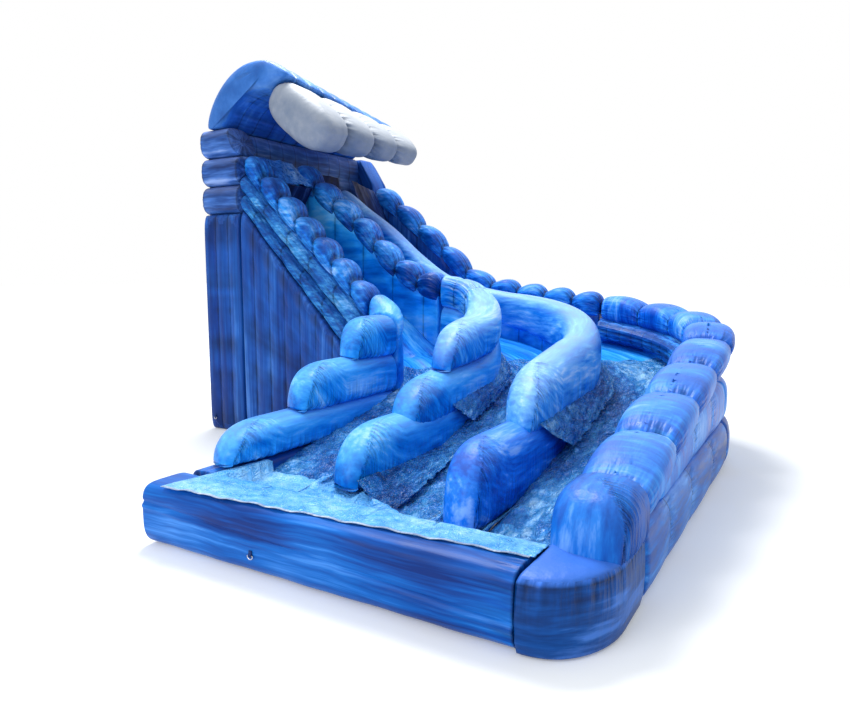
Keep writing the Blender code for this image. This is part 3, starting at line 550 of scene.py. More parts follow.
def place_side_panel(run, size, turn):
    station = run / PANEL_LENGTH * 6
    u, v = oval(turn, 0.3, 0.16)
    top = near_tubes_top(station) - near_tubes_height(station) + 0.03
    rib = 0.035 * fullness(run, np.arange(-0.04, 3.0, 0.32), 0.6) * np.clip(-u, 0, 1) ** 6
    offset = -0.045 + u * 0.245 * size - rib * size
    height = top / 2 * (1 + v * size)
    under = np.abs(top - height)
    return beside(0, station, offset, height), offset, height, under + 0.004, run - 0.5 * height


baffles = np.arange(0.28, PANEL_LENGTH, 0.32)
panel = sewn_skin(
    "slope_side_panel_skin", 140, rows_of(0, PANEL_LENGTH, baffles, step=0.03), place_side_panel,
    baffles, pucker=0.008, folds=16, seed=4)
fit(panel, panel_vinyl, ["slope_side_panel"])
for word, low, high, seams, seed in (("lower", 1.0, 0.5, (0.30, 0.86, 1.25, 1.67, 2.10), 5),
                                     ("upper", 0.5, 0.0, (0.52, 0.99, 1.42, 1.90, 2.43), 6)):
    tube = guard_tube(
        f"slope_{word}_tube_skin", 0, 0, 6,
        lambda k, low=low: near_tubes_top(k) - near_tubes_height(k) * low,
        lambda k, high=high: near_tubes_top(k) - near_tubes_height(k) * high, level(0.245),
        seams=seams, lean=-0.045, draw=0.022, seed=seed, folds=16, step=0.025)
    fit(tube, tube_vinyl, [f"slope_{word}_tube"])


def cushion_row(name, line, tops, first, last, crowns, swell, dip, thick, seed, columns=72,
                nose=0.06, square=0.72, power=0.45, lean=1.0, deeper=0.0, wide_more=0.0):
    """A row of plump cushions along a guard line, sewn together at deep seams."""
    start, end = run_of(line, first), run_of(line, last)
    marks = run_of(line, np.linspace(first, last, crowns + 1))

    def place(run, size, turn):
        station = station_of(line, run)
        full = fullness(run, marks, power, lean)
        peak = below(tops)(station)
        high = peak - dip * (1 - full)
        wide = half_of(station) + wide_more + swell * (2 * full - 1)
        u, v = oval(turn, 1.0, square)
        low = peak - thick - deeper * np.clip(-u * 1.5, 0, 1)
        offset = u * wide * size
        height = (low + high) / 2 + v * (high - low) / 2 * size
        hang = 0.05 * (lean - 1) * full * np.clip(v, 0, 1)
        return beside(line, station_of(line, run + hang), offset, height), offset, height

    return sewn_skin(name, columns, rows_of(start, end, marks[1:-1], (nose, nose), 0.022), place,
                     marks, pucker=0.014, reach=0.08, folds=14, seed=seed)


cushions = cushion_row(
    "near_slope_cushions", 0, INNER_TOP_SHARES, 0, 6, 7, 0.045, 0.17, 0.44, 7, lean=1.55,
    square=0.62)
fit(cushions, cushion_vinyl, ["inner_slope_cushions"])


# Dividers
# Each divider is a wall of air with tubes along its top. The first carries a row of cushions down
# the slope and two stacked tubes round the turn, and the second one smooth tube all the way.
DIVIDER_1_TOP_SHARES = (1.0, 0.926, 0.850, 0.765, 0.668, 0.600, 0.568,
                        0.560, 0.547, 0.526, 0.503, 0.478, 0.452)
DIVIDER_2_TOP_SHARES = (0.916, 0.834, 0.750, 0.648, 0.566, 0.527, 0.504,
                        0.493, 0.480, 0.463, 0.442, 0.418, 0.392)
wall_vinyl = sewn_vinyl(
    "wall_vinyl", (0, 76, 170), (0, 108, 208), (34, 146, 232), (110, 180, 244),
    grain=(0.5, 3.0, 1.2), painted_top_light=0.1, fold=0.5)
smooth_vinyl = sewn_vinyl(
    "smooth_vinyl", (0, 92, 196), (10, 124, 220), (84, 170, 242), (184, 218, 254),
    grain=(0.45, 2.8, 2.8), painted_top_light=0.55, fold=0.7, sky=(164, 200, 252))
pillow_vinyl = sewn_vinyl(
    "pillow_vinyl", (0, 92, 184), (8, 130, 220), (48, 160, 240), (136, 198, 250),
    grain=(0.35, 2.8, 2.8), painted_top_light=0.38, fold=0.8, sky=(130, 184, 250))


def guard_wall(name, line, first, last, top, half, seams_every, seed, lean=0.0):
    """The upright wall under a guard's tubes, with slack folds between its seams."""
    start, end = run_of(line, first), run_of(line, last)
    seams = np.arange(start + seams_every / 2, end - 0.1, seams_every)

    def place(run, size, turn):
        station = station_of(line, run)
        u, v = oval(turn, 0.3, 0.2)
        high = top(station)
        bulge = 0.02 * fullness(run, [start, *seams, end], 0.6) * np.clip(1 - v * v, 0, 1) ** 0.5
        offset = lean + u * (half(station) - 0.02 + bulge) * size
        height = high / 2 * (1 + v * size)
        return beside(line, station, offset, height), offset, height

    return sewn_skin(name, 96, rows_of(start, end, seams, (0.03, 0.03), 0.05), place, seams,
                     pucker=0.012, seed=seed)


wall = guard_wall(
    "divider_1_slope_wall", 1, 0, 6, below(DIVIDER_1_TOP_SHARES, 0.30), half_of, 0.6, 8)
fit(wall, bed_vinyl, ["divider_1_slope_guard"])
cushions = cushion_row(
    "divider_1_slope_cushions", 1, DIVIDER_1_TOP_SHARES, 0, 6, 7, 0.045, 0.18, 0.46, 9, lean=1.45,
    square=0.62)
fit(cushions, cushion_vinyl, ["divider_1_slope_guard"])


def divider_1_top(k):
    return START_TOP * curve_of(DIVIDER_1_TOP_SHARES, np.minimum(k, 12)) - 0.075 * np.clip(
        (k - 12) / 1.0, 0, 2.4)


def divider_1_middle(k):
    return divider_1_top(np.minimum(k, 12)) - 0.50 - 0.067 * np.clip((k - 6) / 6, 0, 1) - (
        0.055 * np.clip(k - 12, 0, 4))


def guard_pillow(name, line, first, last, low, high, half, nose, skew, marks=(), seed=0,
                 square=0.80, step=0.02, foot=0.74, blunt=2.4):
    """A long pillow whose end is cut askew and rounds over to its foot like the bow of a boat.

    The round top and the side are two cloths. Their seam climbs from the foot over the shoulder,
    and it gathers the side's cloth in short puckers.
    """
    start, tip = run_of(line, first), run_of(line, last)
    runs = np.concatenate([start + 0.06 * (1 - np.cos(np.linspace(0, np.pi / 2, 7)[:-1])),
                           np.linspace(start + 0.06, tip - nose,
                                       max(4, round((tip - nose - start) / step)))[:-1],
                           tip - nose * (1 - np.sin(np.linspace(0, np.pi / 2, 44)) ** 0.85)])
    sizes = np.concatenate([np.linspace(0, 1, 7)[:-1] ** 0.5, np.ones(len(runs) - 6)])
    marks_all = [start - 0.3, *marks, tip - 0.35 * nose]

    def place(run, size, turn):
        station = station_of(line, run)
        past = np.clip((run - (tip - nose)) / nose, 0, 1)
        arch = np.sqrt(np.clip(1 - past ** blunt, 0, 1))
        narrow = 1 - (1 - foot) * past ** 2.4
        full = fullness(run, marks_all, 0.4) if len(marks) else np.ones_like(run)
        u, v = oval(turn, 1.0, square, 0.45)
        bottom, top = low(station), high(station) - 0.03 * (1 - full)
        rise = (top - bottom) * (0.02 + 0.98 * arch)
        base = bottom + 0.03 * past ** 3
        offset = u * (half(station) - 0.03 * (1 - full)) * size * narrow
        height = base + rise / 2 + v * rise / 2 * size
        moved = run + past ** 1.5 * (skew * (u * narrow - 1) / 2 - 0.14 * np.abs(u) ** 3)
        climb = np.pi / 2 * (1 - past ** 1.5)
        swing = np.where(turn > np.pi * 1.5, turn - 2 * np.pi, turn)
        away = (climb - swing) * 0.30
        away = np.where(away < 0, -away * 6, away)
        away = np.where(past > 0.01, away, NO_SEAM)
        under = np.where(swing < 0.4, np.abs(swing + 0.75) * 0.30 + 0.05, NO_SEAM)
        away = np.minimum(away, under)
        points = beside(line, station_of(line, moved), offset, height)
        stretch = run + 1.6 * past ** 2
        return points, offset * (1 - 0.5 * past), height * (1 - 0.5 * past), away, stretch

    return sewn_skin(
        name, 144, (runs, sizes), place, marks, pucker=0.024, reach=0.13, folds=18, seed=seed)


wall = guard_wall(
    "divider_1_turn_wall", 1, 6, 12, lambda k: divider_1_middle(k) - 0.30, half_of, 0.5, 10)
fit(wall, wall_vinyl, ["divider_1_turn_chamber_a", "divider_1_turn_chamber_b"])
tube = guard_pillow(
    "divider_1_upper_tube", 1, 6, 14.35, divider_1_middle, divider_1_top, half_of, 0.95, 0.27,
    run_of(1, np.array([7.25, 8.7])), seed=11)
fit(tube, smooth_vinyl, ["divider_1_upper_cushion"])
tube = guard_pillow(
    "divider_1_lower_tube", 1, 6, 16.15, lambda k: divider_1_middle(k) - 0.53,
    lambda k: divider_1_middle(k) + 0.01, half_of, 0.95, 0.27, seed=12)
fit(tube, pillow_vinyl, ["divider_1_middle_cushion"])


def divider_2_top(k):
    past = START_TOP * curve_of((0.392, 0.373, 0.350, 0.322, 0.31), k, 12)
    return np.where(k < 12, START_TOP * curve_of(DIVIDER_2_TOP_SHARES, k), past)


def divider_2_bottom(k):
    tall = np.interp(k, (0, 4, 7, 10, 12, 16), (0.42, 0.46, 0.62, 0.78, 0.86, 0.56))
    return divider_2_top(k) - tall


wall = guard_wall(
    "divider_2_wall", 2, 0, 12, lambda k: divider_2_bottom(k) + 0.16, lambda k: half_of(k) - 0.03,
    0.6, 13)
fit(wall, wall_vinyl,
    ["divider_2_slope_guard", "divider_2_turn_chamber_a", "divider_2_turn_chamber_b"])
tube = guard_pillow(
    "divider_2_tube", 2, 0, 15.75, divider_2_bottom, divider_2_top, lambda k: half_of(k) + 0.01,
    1.05, 0.42, seed=14, step=0.03)
fit(tube, smooth_vinyl, ["divider_2_slope_guard", "divider_2_upper_cushion"])


# Inner corner and the stacked exit cushions
# Beside the exits the guards end in long pillows that lie on one another. Each ends in a round
# bow, and the seam round it gathers the cloth in short puckers.
wall = guard_wall("inner_corner_wall", 0, 6, 12, below(INNER_TOP_SHARES, 0.36), half_of, 0.3, 15)
fit(wall, wall_vinyl, ["inner_corner_chamber"])
tube = guard_tube(
    "inner_corner_tube", 0, 6, 12, below(INNER_TOP_SHARES, 0.52), below(INNER_TOP_SHARES), half_of,
    seed=16, columns=72, folds=18)
fit(tube, pillow_vinyl, ["inner_corner_chamber"])
deep_pillow_vinyl = sewn_vinyl(
    "deep_pillow_vinyl", (0, 54, 158), (0, 94, 202), (24, 130, 236), (140, 188, 252),
    grain=(0.45, 3.4, 3.4), painted_top_light=0.35, fold=0.8, sky=(110, 158, 250))
for name, line, last, low, high, nose, seed, cloth, node in (
        ("inner_lower_pillow", 0, 19.30, 0.645, 1.07, 0.95, 20, pillow_vinyl,
         "inner_lower_cushion"),
        ("inner_middle_pillow", 0, 16.65, 1.03, 1.60, 0.90, 21, pillow_vinyl,
         "inner_middle_cushion"),
        ("inner_upper_pillow", 0, 14.30, 1.55, 2.13, 0.75, 22, pillow_vinyl,
         "inner_upper_cushion"),
        ("divider_1_pillow", 1, 18.20, 0.46, 1.08, 1.05, 23, pillow_vinyl,
         "divider_1_lower_cushion"),
        ("divider_2_pillow", 2, 18.00, 0.20, 1.04, 0.95, 24, deep_pillow_vinyl,
         "divider_2_lower_cushion")):
    pillow = guard_pillow(
        name, line, 12, last, level(low), level(high), level(0.295), nose, 0.26, seed=seed)
    fit(pillow, cloth, [node])


# Aprons beside the exits
# From the dividers' tubes loose aprons of liner vinyl hang down to the sliding faces. They hide
# the foot of each divider, and they are sewn only along their upper edge.
def cloth_sheet(name, cells, place, cloth, flat, nodes=(), body="slide",
                thickness=0.003, offset=-1.0, outward=False):
    """A sheet that starts as a grid and is laid out by place for its two shares, 0 to 1.

    place gives the points and the print's places, and where a seam gathers the sheet also the
    way from it and the places along it. flat is the flat cloth's width and length, or its width
    alone where the length follows from the area; the length is worked out and not used further.
    """
    bpy.ops.object.select_all(action="DESELECT")
    bpy.ops.mesh.primitive_grid_add(x_subdivisions=cells[0], y_subdivisions=cells[1], size=1)
    piece = named(name)
    mesh = piece.data
    shares = values_of(mesh) + 0.5
    points, lay, *seam = place(shares[:, 0], shares[:, 1])
    mesh.vertices.foreach_set("co", points.ravel())
    lay_out(mesh, lay, *(seam or (np.full(len(lay), NO_SEAM), lay)))
    mesh.update()
    if outward:
        turn_outward()
    if len(flat) == 1:
        flat = (flat[0], sum(face.area for face in mesh.polygons) / flat[0])
    thick = piece.modifiers.new("cloth", "SOLIDIFY")
    thick.thickness = thickness
    thick.offset = offset
    bpy.ops.object.modifier_apply(modifier="cloth")
    bpy.ops.object.shade_smooth()
    mesh.materials.clear()
    mesh.materials.append(cloth)
    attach(piece, body)
    if nodes:
        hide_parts(*nodes)


def hung_apron(name, line, first, last, offsets, top, seed, slant=(0.0, 0.0)):
    start, end = run_of(line, first), run_of(line, last)
    lane = min(line, 2)

    def place(along, down):
        run = start + slant[0] * down + (end - start - (slant[0] + slant[1]) * down) * along
        station = station_of(line, run)
        bed = DECK_HEIGHT * curve_of(BED_SHARES[lane], station) + 0.035
        head = top(station)
        foot = np.minimum(bed, head - 0.05)
        folds = creases(run, down * 0.5, 0.16, seed, 9) - 0.3
        folds = folds + 0.4 * (creases(run, down * 0.5, 0.07, seed + 4, 8) - 0.3)
        hang = np.sin(np.pi * down) * 0.03 + folds * (0.02 + 0.08 * down)
        offset = offsets[0] + (offsets[1] - offsets[0]) * down ** 1.3 + hang
        height = head + (foot - head) * down + 0.3 * folds * 0.06 * np.sin(np.pi * down)
        return (beside(line, station, offset, height),
                np.stack([run, offset * 2, height], 1) + seed,
                np.maximum(0.02, down * 0.5), np.stack([run, 0 * run, down * 0.5], 1))

    cloth_sheet(name, (120, 34), place, exit_vinyl,
                (end - start,))


hung_apron("divider_1_apron", 1, 8.6, 14.3, (0.27, 0.43), lambda k: divider_1_middle(k) - 0.34, 81,
           (0.0, 0.35))
hung_apron("divider_1_low_apron", 1, 14.6, 18.0, (0.27, 0.62), level(0.62), 82, (0.2, 0.0))
hung_apron("divider_2_apron", 2, 9.0, 15.2, (0.28, 0.50), lambda k: divider_2_bottom(k) + 0.14, 83,
           (0.0, 0.60))


# Outer guard
# Nine small cushions go down the slope, and eight large ones and a nose round the turn to the
# pool. Inside them runs a thin tube with cross seams, and outside two tiers of tubes carry them.
OUTER_TOP_SHARES = (0.968, 0.853, 0.715, 0.580, 0.540, 0.518, 0.498,
                    0.482, 0.468, 0.455, 0.442, 0.425, 0.402,
                    0.375, 0.345, 0.318, 0.293, 0.262, 0.225)
dark_cushion_vinyl = sewn_vinyl(
    "dark_cushion_vinyl", (0, 56, 138), (2, 88, 182), (34, 130, 222), (120, 176, 244),
    grain=(0.5, 2.2, 2.2), painted_top_light=0.2, fold=0.7)
wrapped_vinyl = sewn_vinyl(
    "wrapped_vinyl", (0, 66, 172), (4, 96, 204), (40, 138, 232), (140, 188, 252),
    grain=(3.2, 0.6, 0.6), painted_top_light=0.34, fold=0.9, sky=(116, 166, 248))
outer_vinyl = sewn_vinyl(
    "outer_vinyl", (0, 52, 130), (2, 78, 168), (24, 116, 208), (120, 176, 246),
    grain=(0.35, 2.8, 2.8), painted_top_light=0.2, fold=0.8)
wall = guard_wall("outer_slope_wall", 3, 0, 6, below(OUTER_TOP_SHARES, 0.30), half_of, 0.7, 30)
fit(wall, panel_vinyl, ["outer_slope_guard"])
cushions = cushion_row(
    "outer_slope_cushions_skin", 3, OUTER_TOP_SHARES, 0, 6, 9, 0.05, 0.17, 0.46, 31, lean=1.4,
    square=0.65)
fit(cushions, dark_cushion_vinyl, ["outer_slope_guard"])
for name, first, last, crowns, nodes, seed in (
        ("outer_turn_cushions", 6, 12, 4, ["outer_turn_cushions_a", "outer_turn_cushions_b"], 32),
        ("outer_exit_cushions_skin", 12, 18, 4, ["outer_exit_cushions"], 33)):
    wall = guard_wall(f"{name}_wall", 3, first, last, below(OUTER_TOP_SHARES, 0.44),
                      lambda k: (half_of(k) + 0.03) / 2, 0.6, seed + 3, lean=-0.13)
    fit(wall, exit_vinyl if first == 12 else wall_vinyl, nodes)
    cushions = cushion_row(
        name, 3, OUTER_TOP_SHARES, first, last, crowns, 0.04, 0.17, 0.43, seed, columns=110,
        nose=0.10, square=0.72, power=0.40, deeper=0.34 if first == 12 else 0.06, wide_more=0.035)
    fit(cushions, wrapped_vinyl, nodes)
nose_vinyl = sewn_vinyl(
    "nose_vinyl", (0, 54, 140), (0, 84, 180), (20, 116, 212), (110, 166, 240),
    grain=(0.4, 4.0, 0.8), painted_top_light=0.3, fold=0.9, sky=(84, 142, 236))
nose = guard_pillow(
    "outer_nose_pillow", 3, 17.9, 18.98, level(0.50), level(START_TOP * 0.228), level(0.345), 0.72,
    0.10, seed=34, square=0.72, foot=0.85, blunt=3.2)
fit(nose, nose_vinyl, ["outer_nose_cushion"])
tube = guard_tube(
    "outer_inside_tube", 3, 6, 14.4, below(OUTER_TOP_SHARES, 0.78), below(OUTER_TOP_SHARES, 0.46),
    level(0.14), (0.10, 0.16), run_of(3, np.arange(6.5, 14.2, 0.55)), 0.012, lean=-0.32,
    columns=64, seed=37, folds=12)
fit(tube, tube_vinyl, [])


def tier_tube(name, first, last, width, bottom, full_top, cloth, node, seams, seed):
    start, end = run_of(3, first), run_of(3, last)

    def place(run, size, turn):
        station = station_of(3, run)
        high = np.minimum(full_top, below(OUTER_TOP_SHARES, 0.40)(station))
        u, v = oval(turn, 0.5, 0.72)
        full = fullness(run, [start, *seams, end], 0.5)
        wide = (width + 0.04) / 2 - 0.02 * (1 - full)
        offset = 0.03 + (width + 0.01) / 2 + u * wide * size
        height = (bottom + high) / 2 + v * ((high - bottom) / 2) * size
        return beside(3, station, offset, height), offset, height

    tube = sewn_skin(name, 72, rows_of(start, end, seams, (0.05, 0.12), 0.04), place, seams,
                     pucker=0.014, folds=14, seed=seed)
    fit(tube, cloth, [node])


for tier, word, first, last, width, low, high, cloth, marks, seed in (
        ("base", "turn", 6, 12, 0.30, 0.0, 0.66, outer_vinyl, (8.0, 10.0), 38),
        ("base", "exit", 12, 18, 0.30, 0.0, 0.66, outer_vinyl, (13.6, 15.4, 16.8), 39),
        ("middle", "turn", 6, 12, 0.24, 0.63, 1.22, wrapped_vinyl, (7.5, 9.0, 10.5), 40),
        ("middle", "exit", 12, 17, 0.24, 0.63, 1.22, wrapped_vinyl, (13.4, 14.9), 41)):
    tier_tube(f"outer_{tier}_{word}", first, last, width, low, high, cloth,
              f"outer_{tier}_tube_{word}", run_of(3, np.array(marks)), seed)


# Tower
# Upright baffles draw its side and back panels into columns. Above the platform three tubes lie
# round the near side, and the platform itself is the top of one large chamber.
tower_vinyl = sewn_vinyl(
    "tower_vinyl", (10, 50, 122), (18, 68, 144), (28, 86, 166), (74, 126, 200),
    grain=(3.0, 3.0, 0.07), painted_top_light=0.1, fold=0.3, wander=0.08)
band_vinyl = sewn_vinyl(
    "band_vinyl", (24, 50, 104), (38, 76, 144), (66, 110, 184), (136, 164, 220),
    grain=(0.25, 2.4, 2.4), painted_top_light=0.6, fold=0.4, sky=(128, 150, 206))
crest_vinyl = sewn_vinyl(
    "crest_vinyl", (32, 82, 156), (42, 98, 174), (60, 116, 194), (96, 146, 216),
    grain=(1.4, 0.5, 0.5), painted_top_light=0.25, fold=0.5, sky=(110, 152, 220))
BACK, FRONT = -2.96, TOWER_FRONT
NEAR_WALL, FAR_WALL = 0.94, 4.29
TOWER_TOP = 5.10
BAND_HEIGHT = 0.467
for name, low_y, high_y, outer, top, node, seed in (
        ("tower_near_skin", 0.45, NEAR_WALL, -1, DECK_HEIGHT, "tower_near_panel", 50),
        ("tower_far_skin", FAR_WALL, 4.78, 1, TOWER_TOP, "tower_far_panel", 51)):
    def place_panel(run, size, turn, low_y=low_y, high_y=high_y, outer=outer, top=top):
        u, v = oval(turn, 0.2, 0.14)
        rib = 0.035 * fullness(run, np.linspace(BACK, FRONT, 4), 0.6)
        y = (low_y + high_y) / 2 + u * (high_y - low_y) / 2 * size
        y = y + outer * rib * np.clip(outer * u, 0, 1) ** 6 * size
        z = top / 2 * (1 + v * size)
        slant = np.clip((z - 4.55) / 0.55, 0, 1) * 0.35 if outer > 0 else 0
        x = run - slant * (run - BACK) / (FRONT - BACK)
        return (placed(x, y, z), y, z, np.minimum(z, top - z) + 0.004,
                x + y)

    seams = np.linspace(BACK, FRONT, 4)[1:-1]
    skin = sewn_skin(name, 160, rows_of(BACK, FRONT, seams, (0.05, 0.04), 0.025), place_panel,
                     seams, pucker=0.008, folds=20, seed=seed)
    fit(skin, tower_vinyl, [node])


back_seams = np.linspace(NEAR_WALL, FAR_WALL, 11)


def place_back_wall(run, size, turn):
    u, v = oval(turn, 0.2, 0.14)
    rib = 0.035 * fullness(run, back_seams, 0.6) * np.clip(-u, 0, 1) ** 6
    x = -2.735 + u * 0.225 * size - rib * size
    z = TOWER_TOP / 2 * (1 + v * size)
    roll = 0.045 * np.clip(u, 0, 1) ** 4 * np.clip((z - DECK_HEIGHT) / 0.2, 0, 1) * np.abs(
        np.sin(np.pi * (z - DECK_HEIGHT) / BAND_HEIGHT)) ** 0.5
    return placed(x + roll, run, z), x, z


seams = back_seams[1:-1]
skin = sewn_skin("tower_back_skin", 160, rows_of(0.941, 4.289, seams, (0.03, 0.03), 0.05),
                 place_back_wall, seams, pucker=0.008, folds=20, seed=52)
fit(skin, tower_vinyl, ["tower_back_wall"])
skin.data.materials.append(band_vinyl)
for face in skin.data.polygons:
    face.material_index = int(face.normal.x > 0.5 and face.center.z > 3.7)


def place_deck(run, size, turn):
    u, v = oval(turn, 0.3, 0.12)
    x = -2.305 + u * 0.203 * size
    z = DECK_HEIGHT / 2 * (1 + v * size)
    return placed(x, run, z), x, z


skin = sewn_skin(
    "tower_deck_skin", 60, rows_of(0.941, 4.289, (), (0.03, 0.03), 0.12), place_deck, seed=53)
fit(skin, tower_vinyl, ["tower_core_chamber"])

for number in range(3):
    def place_band(run, size, turn, number=number):
        low = DECK_HEIGHT + BAND_HEIGHT * number
        u, v = oval(turn, 1.0, 0.7)
        y = 0.70 + u * 0.275 * size
        z = low + BAND_HEIGHT / 2 + v * 0.238 * size
        slant = 0.23 * np.clip((z - 4.6) / 0.5, 0, 1)
        x = run - slant * (run - BACK) / (FRONT - BACK)
        return placed(x, y, z), y, z

    band = sewn_skin(
        f"tower_band_{number + 1}", 80, rows_of(BACK - 0.01, FRONT, (), (0.05, 0.05), 0.03),
        place_band, (BACK + 0.04, FRONT - 0.04), pucker=0.010, folds=16, seed=54 + number)
    fit(band, band_vinyl, ["tower_near_band"])


# Wave crest
# A thick chamber that curls over the platform like a breaking wave. Ten small lobes make its
# ridge, which sinks to the far side, and its near end is a rounded rim with a cross seam.
CREST_NEAR, CREST_FAR = 0.45, 4.28
CREST_REACH, CREST_RISE, CREST_FOOT = 1.20, 1.355, 4.70
CREST_THICKNESS = 0.42
CREST_SINK = 0.22


def crest_curl(y, u, v, lobe):
    """Point of the curl: u goes from its foot over the ridge to the lip, v from inside to out."""
    share = (y - CREST_NEAR) / (CREST_FAR - CREST_NEAR)
    size = 1 - CREST_SINK * share
    inset = CREST_THICKNESS / 2 * (1 - v)
    reach = (CREST_REACH - inset) * size
    rise = (CREST_RISE - inset) * size + lobe
    foot = np.arcsin(0.40 / rise)
    angle = foot + (np.radians(118 + 12 * v) - foot) * (u + 1) / 2
    x = BACK + CREST_REACH * size - reach * np.cos(angle)
    return x, CREST_FOOT + rise * np.sin(angle)


lobe_seams = np.linspace(CREST_NEAR, CREST_FAR, 11)


def place_crest(run, size, turn):
    u, v = oval(turn, 5.0, 0.35)
    lobe = 0.05 * fullness(run, lobe_seams, 0.5) * np.clip(v, 0, 1) * np.clip(u + 0.9, 0, 1)
    x, z = crest_curl(run, -0.97 + (u + 0.97) * (0.85 + 0.15 * size), v * size, lobe - 0.02)
    near = (run - CREST_NEAR < 0.35) & (v * size > -0.8)
    crossing = np.abs((u + 1) / 2 - 0.62) * 1.9 + 0.004
    away = np.where(near, crossing, NO_SEAM)
    return placed(x, run, z), x, z, away, run + v * 0.3


crest = sewn_skin(
    "crest_skin", 220, rows_of(CREST_NEAR, CREST_FAR, lobe_seams[1:-1], (0.17, 0.08), 0.03),
    place_crest, lobe_seams[1:-1], pucker=0.010, reach=0.06, folds=34, seed=57)
fit(crest, crest_vinyl, ["wave_crest"])
hollow_vinyl = sewn_vinyl(
    "hollow_vinyl", (28, 82, 172), (34, 92, 186), (44, 106, 200), (78, 138, 220),
    grain=(1.4, 0.5, 0.5), painted_top_light=0.1, fold=0.4)
crest.data.materials.append(hollow_vinyl)
for face in crest.data.polygons:
    spot_x, spot_y, spot_z = np.array(face.center) + MIDDLE
    size = 1 - CREST_SINK * (spot_y - CREST_NEAR) / (CREST_FAR - CREST_NEAR)
    outward_x, outward_z = spot_x - BACK - CREST_REACH * size, spot_z - CREST_FOOT
    inward = -(face.normal.x * outward_x + face.normal.z * outward_z)
    face.material_index = int(inward > 0.9 * math.hypot(outward_x, outward_z))


# Foam puffs
# Four off-white pillows hang in a row on the crest's lip and get smaller to the far side. The
# seams between them gather the cloth into fans of fine puckers.
# The foam is off-white: its grey-blue palette is painted shade, and the strong blend towards a
# pale colour on its tops is painted light.
foam_vinyl = sewn_vinyl(
    "foam_vinyl", (108, 122, 146), (120, 131, 150), (130, 139, 156), (146, 152, 164),
    grain=(0.8, 1.2, 1.2), painted_top_light=0.8, fold=0.75, rough=0.45, gathers=0.6, sky=(184, 187, 190))


PUFF_LENGTH, PUFF_DEPTH = 0.70, 0.36
PUFF_TILT = math.radians(38)


def place_puff(run, size, turn):
    share = (run - CREST_NEAR) / (CREST_FAR - CREST_NEAR)
    u, v = oval(turn, 1.9, 0.72)
    scale = 1 - 0.32 * share
    top_x, top_z = crest_curl(run, 1.0, 1.0, 0)
    lip_x, lip_z = crest_curl(run, 1.0, -1.0, 0)
    heart_x = lip_x + 0.59 - 0.10 * share
    heart_z = lip_z - 0.44 + 0.28 * share
    long_way = u * PUFF_LENGTH * scale * size
    deep = v * PUFF_DEPTH * scale * size
    x = heart_x + long_way * math.cos(PUFF_TILT) + deep * math.sin(PUFF_TILT)
    z = heart_z + deep * math.cos(PUFF_TILT) - long_way * math.sin(PUFF_TILT)
    edge = np.hypot(top_x - lip_x, top_z - lip_z)
    ahead_x, ahead_z = (top_z - lip_z) / edge, -(top_x - lip_x) / edge
    behind = np.maximum(0, 0.002 - (x - lip_x) * ahead_x - (z - lip_z) * ahead_z)
    x, z = x + behind * ahead_x, z + behind * ahead_z
    return placed(x, run, z), x, z


PUFF_SIZES = np.array([0, 0.35, 0.60, 0.70, 0.78, 0.84, 0.89, 0.93, 0.96, 0.985, 1.0])
PUFF_STEPS = np.array([0, 0, 0.001, 0.008, 0.022, 0.045, 0.075, 0.115, 0.165, 0.22, 0.30])
for number in range(4):
    near = CREST_NEAR + (CREST_FAR - CREST_NEAR) * number / 4 + 0.001
    far = CREST_NEAR + (CREST_FAR - CREST_NEAR) * (number + 1) / 4 - 0.001
    swing = np.linspace(0, np.pi / 2, 12)
    runs = np.concatenate([near + PUFF_STEPS, np.linspace(near + 0.30, far - 0.30, 14)[1:-1],
                           (far - PUFF_STEPS)[::-1]])
    sizes = np.concatenate([PUFF_SIZES, np.ones(12), PUFF_SIZES[::-1]])
    if number == 0:
        runs = np.concatenate([near + 0.30 * (1 - np.cos(swing)), runs[11:]])
        sizes = np.concatenate([np.sin(swing) ** 0.75, sizes[11:]])
    if number == 3:
        runs = np.concatenate([runs[:-11], (far - 0.24 * (1 - np.cos(swing)))[::-1]])
        sizes = np.concatenate([sizes[:-11], (np.sin(swing) ** 0.75)[::-1]])
    seams = [far] if number == 0 else [near] if number == 3 else [near, far]
    puff = sewn_skin(f"foam_puff_skin_{number + 1}", 144, (runs, sizes), place_puff, seams,
                     pucker=0.013, reach=0.12, folds=22, seed=60 + number)
    fit(puff, foam_vinyl, [f"foam_puff_{number + 1}"])


# Entry cloths
# A crumpled valance hangs from the platform over the entry of the inner channel. Dark sheets in
# all three entries stand for a dark net and paint the shadow that falls there. They are sewn along
# their upper edges.
valance_vinyl = sewn_vinyl(
    "valance_vinyl", (0, 48, 130), (4, 78, 172), (44, 126, 220), (150, 194, 246),
    grain=(1.0, 3.0, 3.0), painted_top_light=0.1, fold=0.9, crumple=1.2, rough=0.3, gloss=0.3)


def hung_cloth(name, sides, head, foot, cloth, crumple, seed):
    """A cloth between two sides. Its head gives x and the height at each side, its foot one."""
    near_top, far_top = (np.array([head[0], y, z]) for y, z in zip(sides, head[1:]))
    near_foot, far_foot = (np.array([foot[0], y, foot[1]]) for y in sides)

    def place(side, down):
        side, down = side[:, None], down[:, None]
        points = ((near_top * (1 - side) + far_top * side) * (1 - down)
                  + (near_foot * (1 - side) + far_foot * side) * down)
        fold = creases(points[:, 1], points[:, 2], 0.2, seed, 8) - 0.3
        points[:, 0] += crumple * fold
        points[:, 2] += crumple * 0.5 * fold
        return points - MIDDLE, points

    cloth_sheet(name, (60, 50), place, cloth,
                (np.linalg.norm(far_top - near_top),))


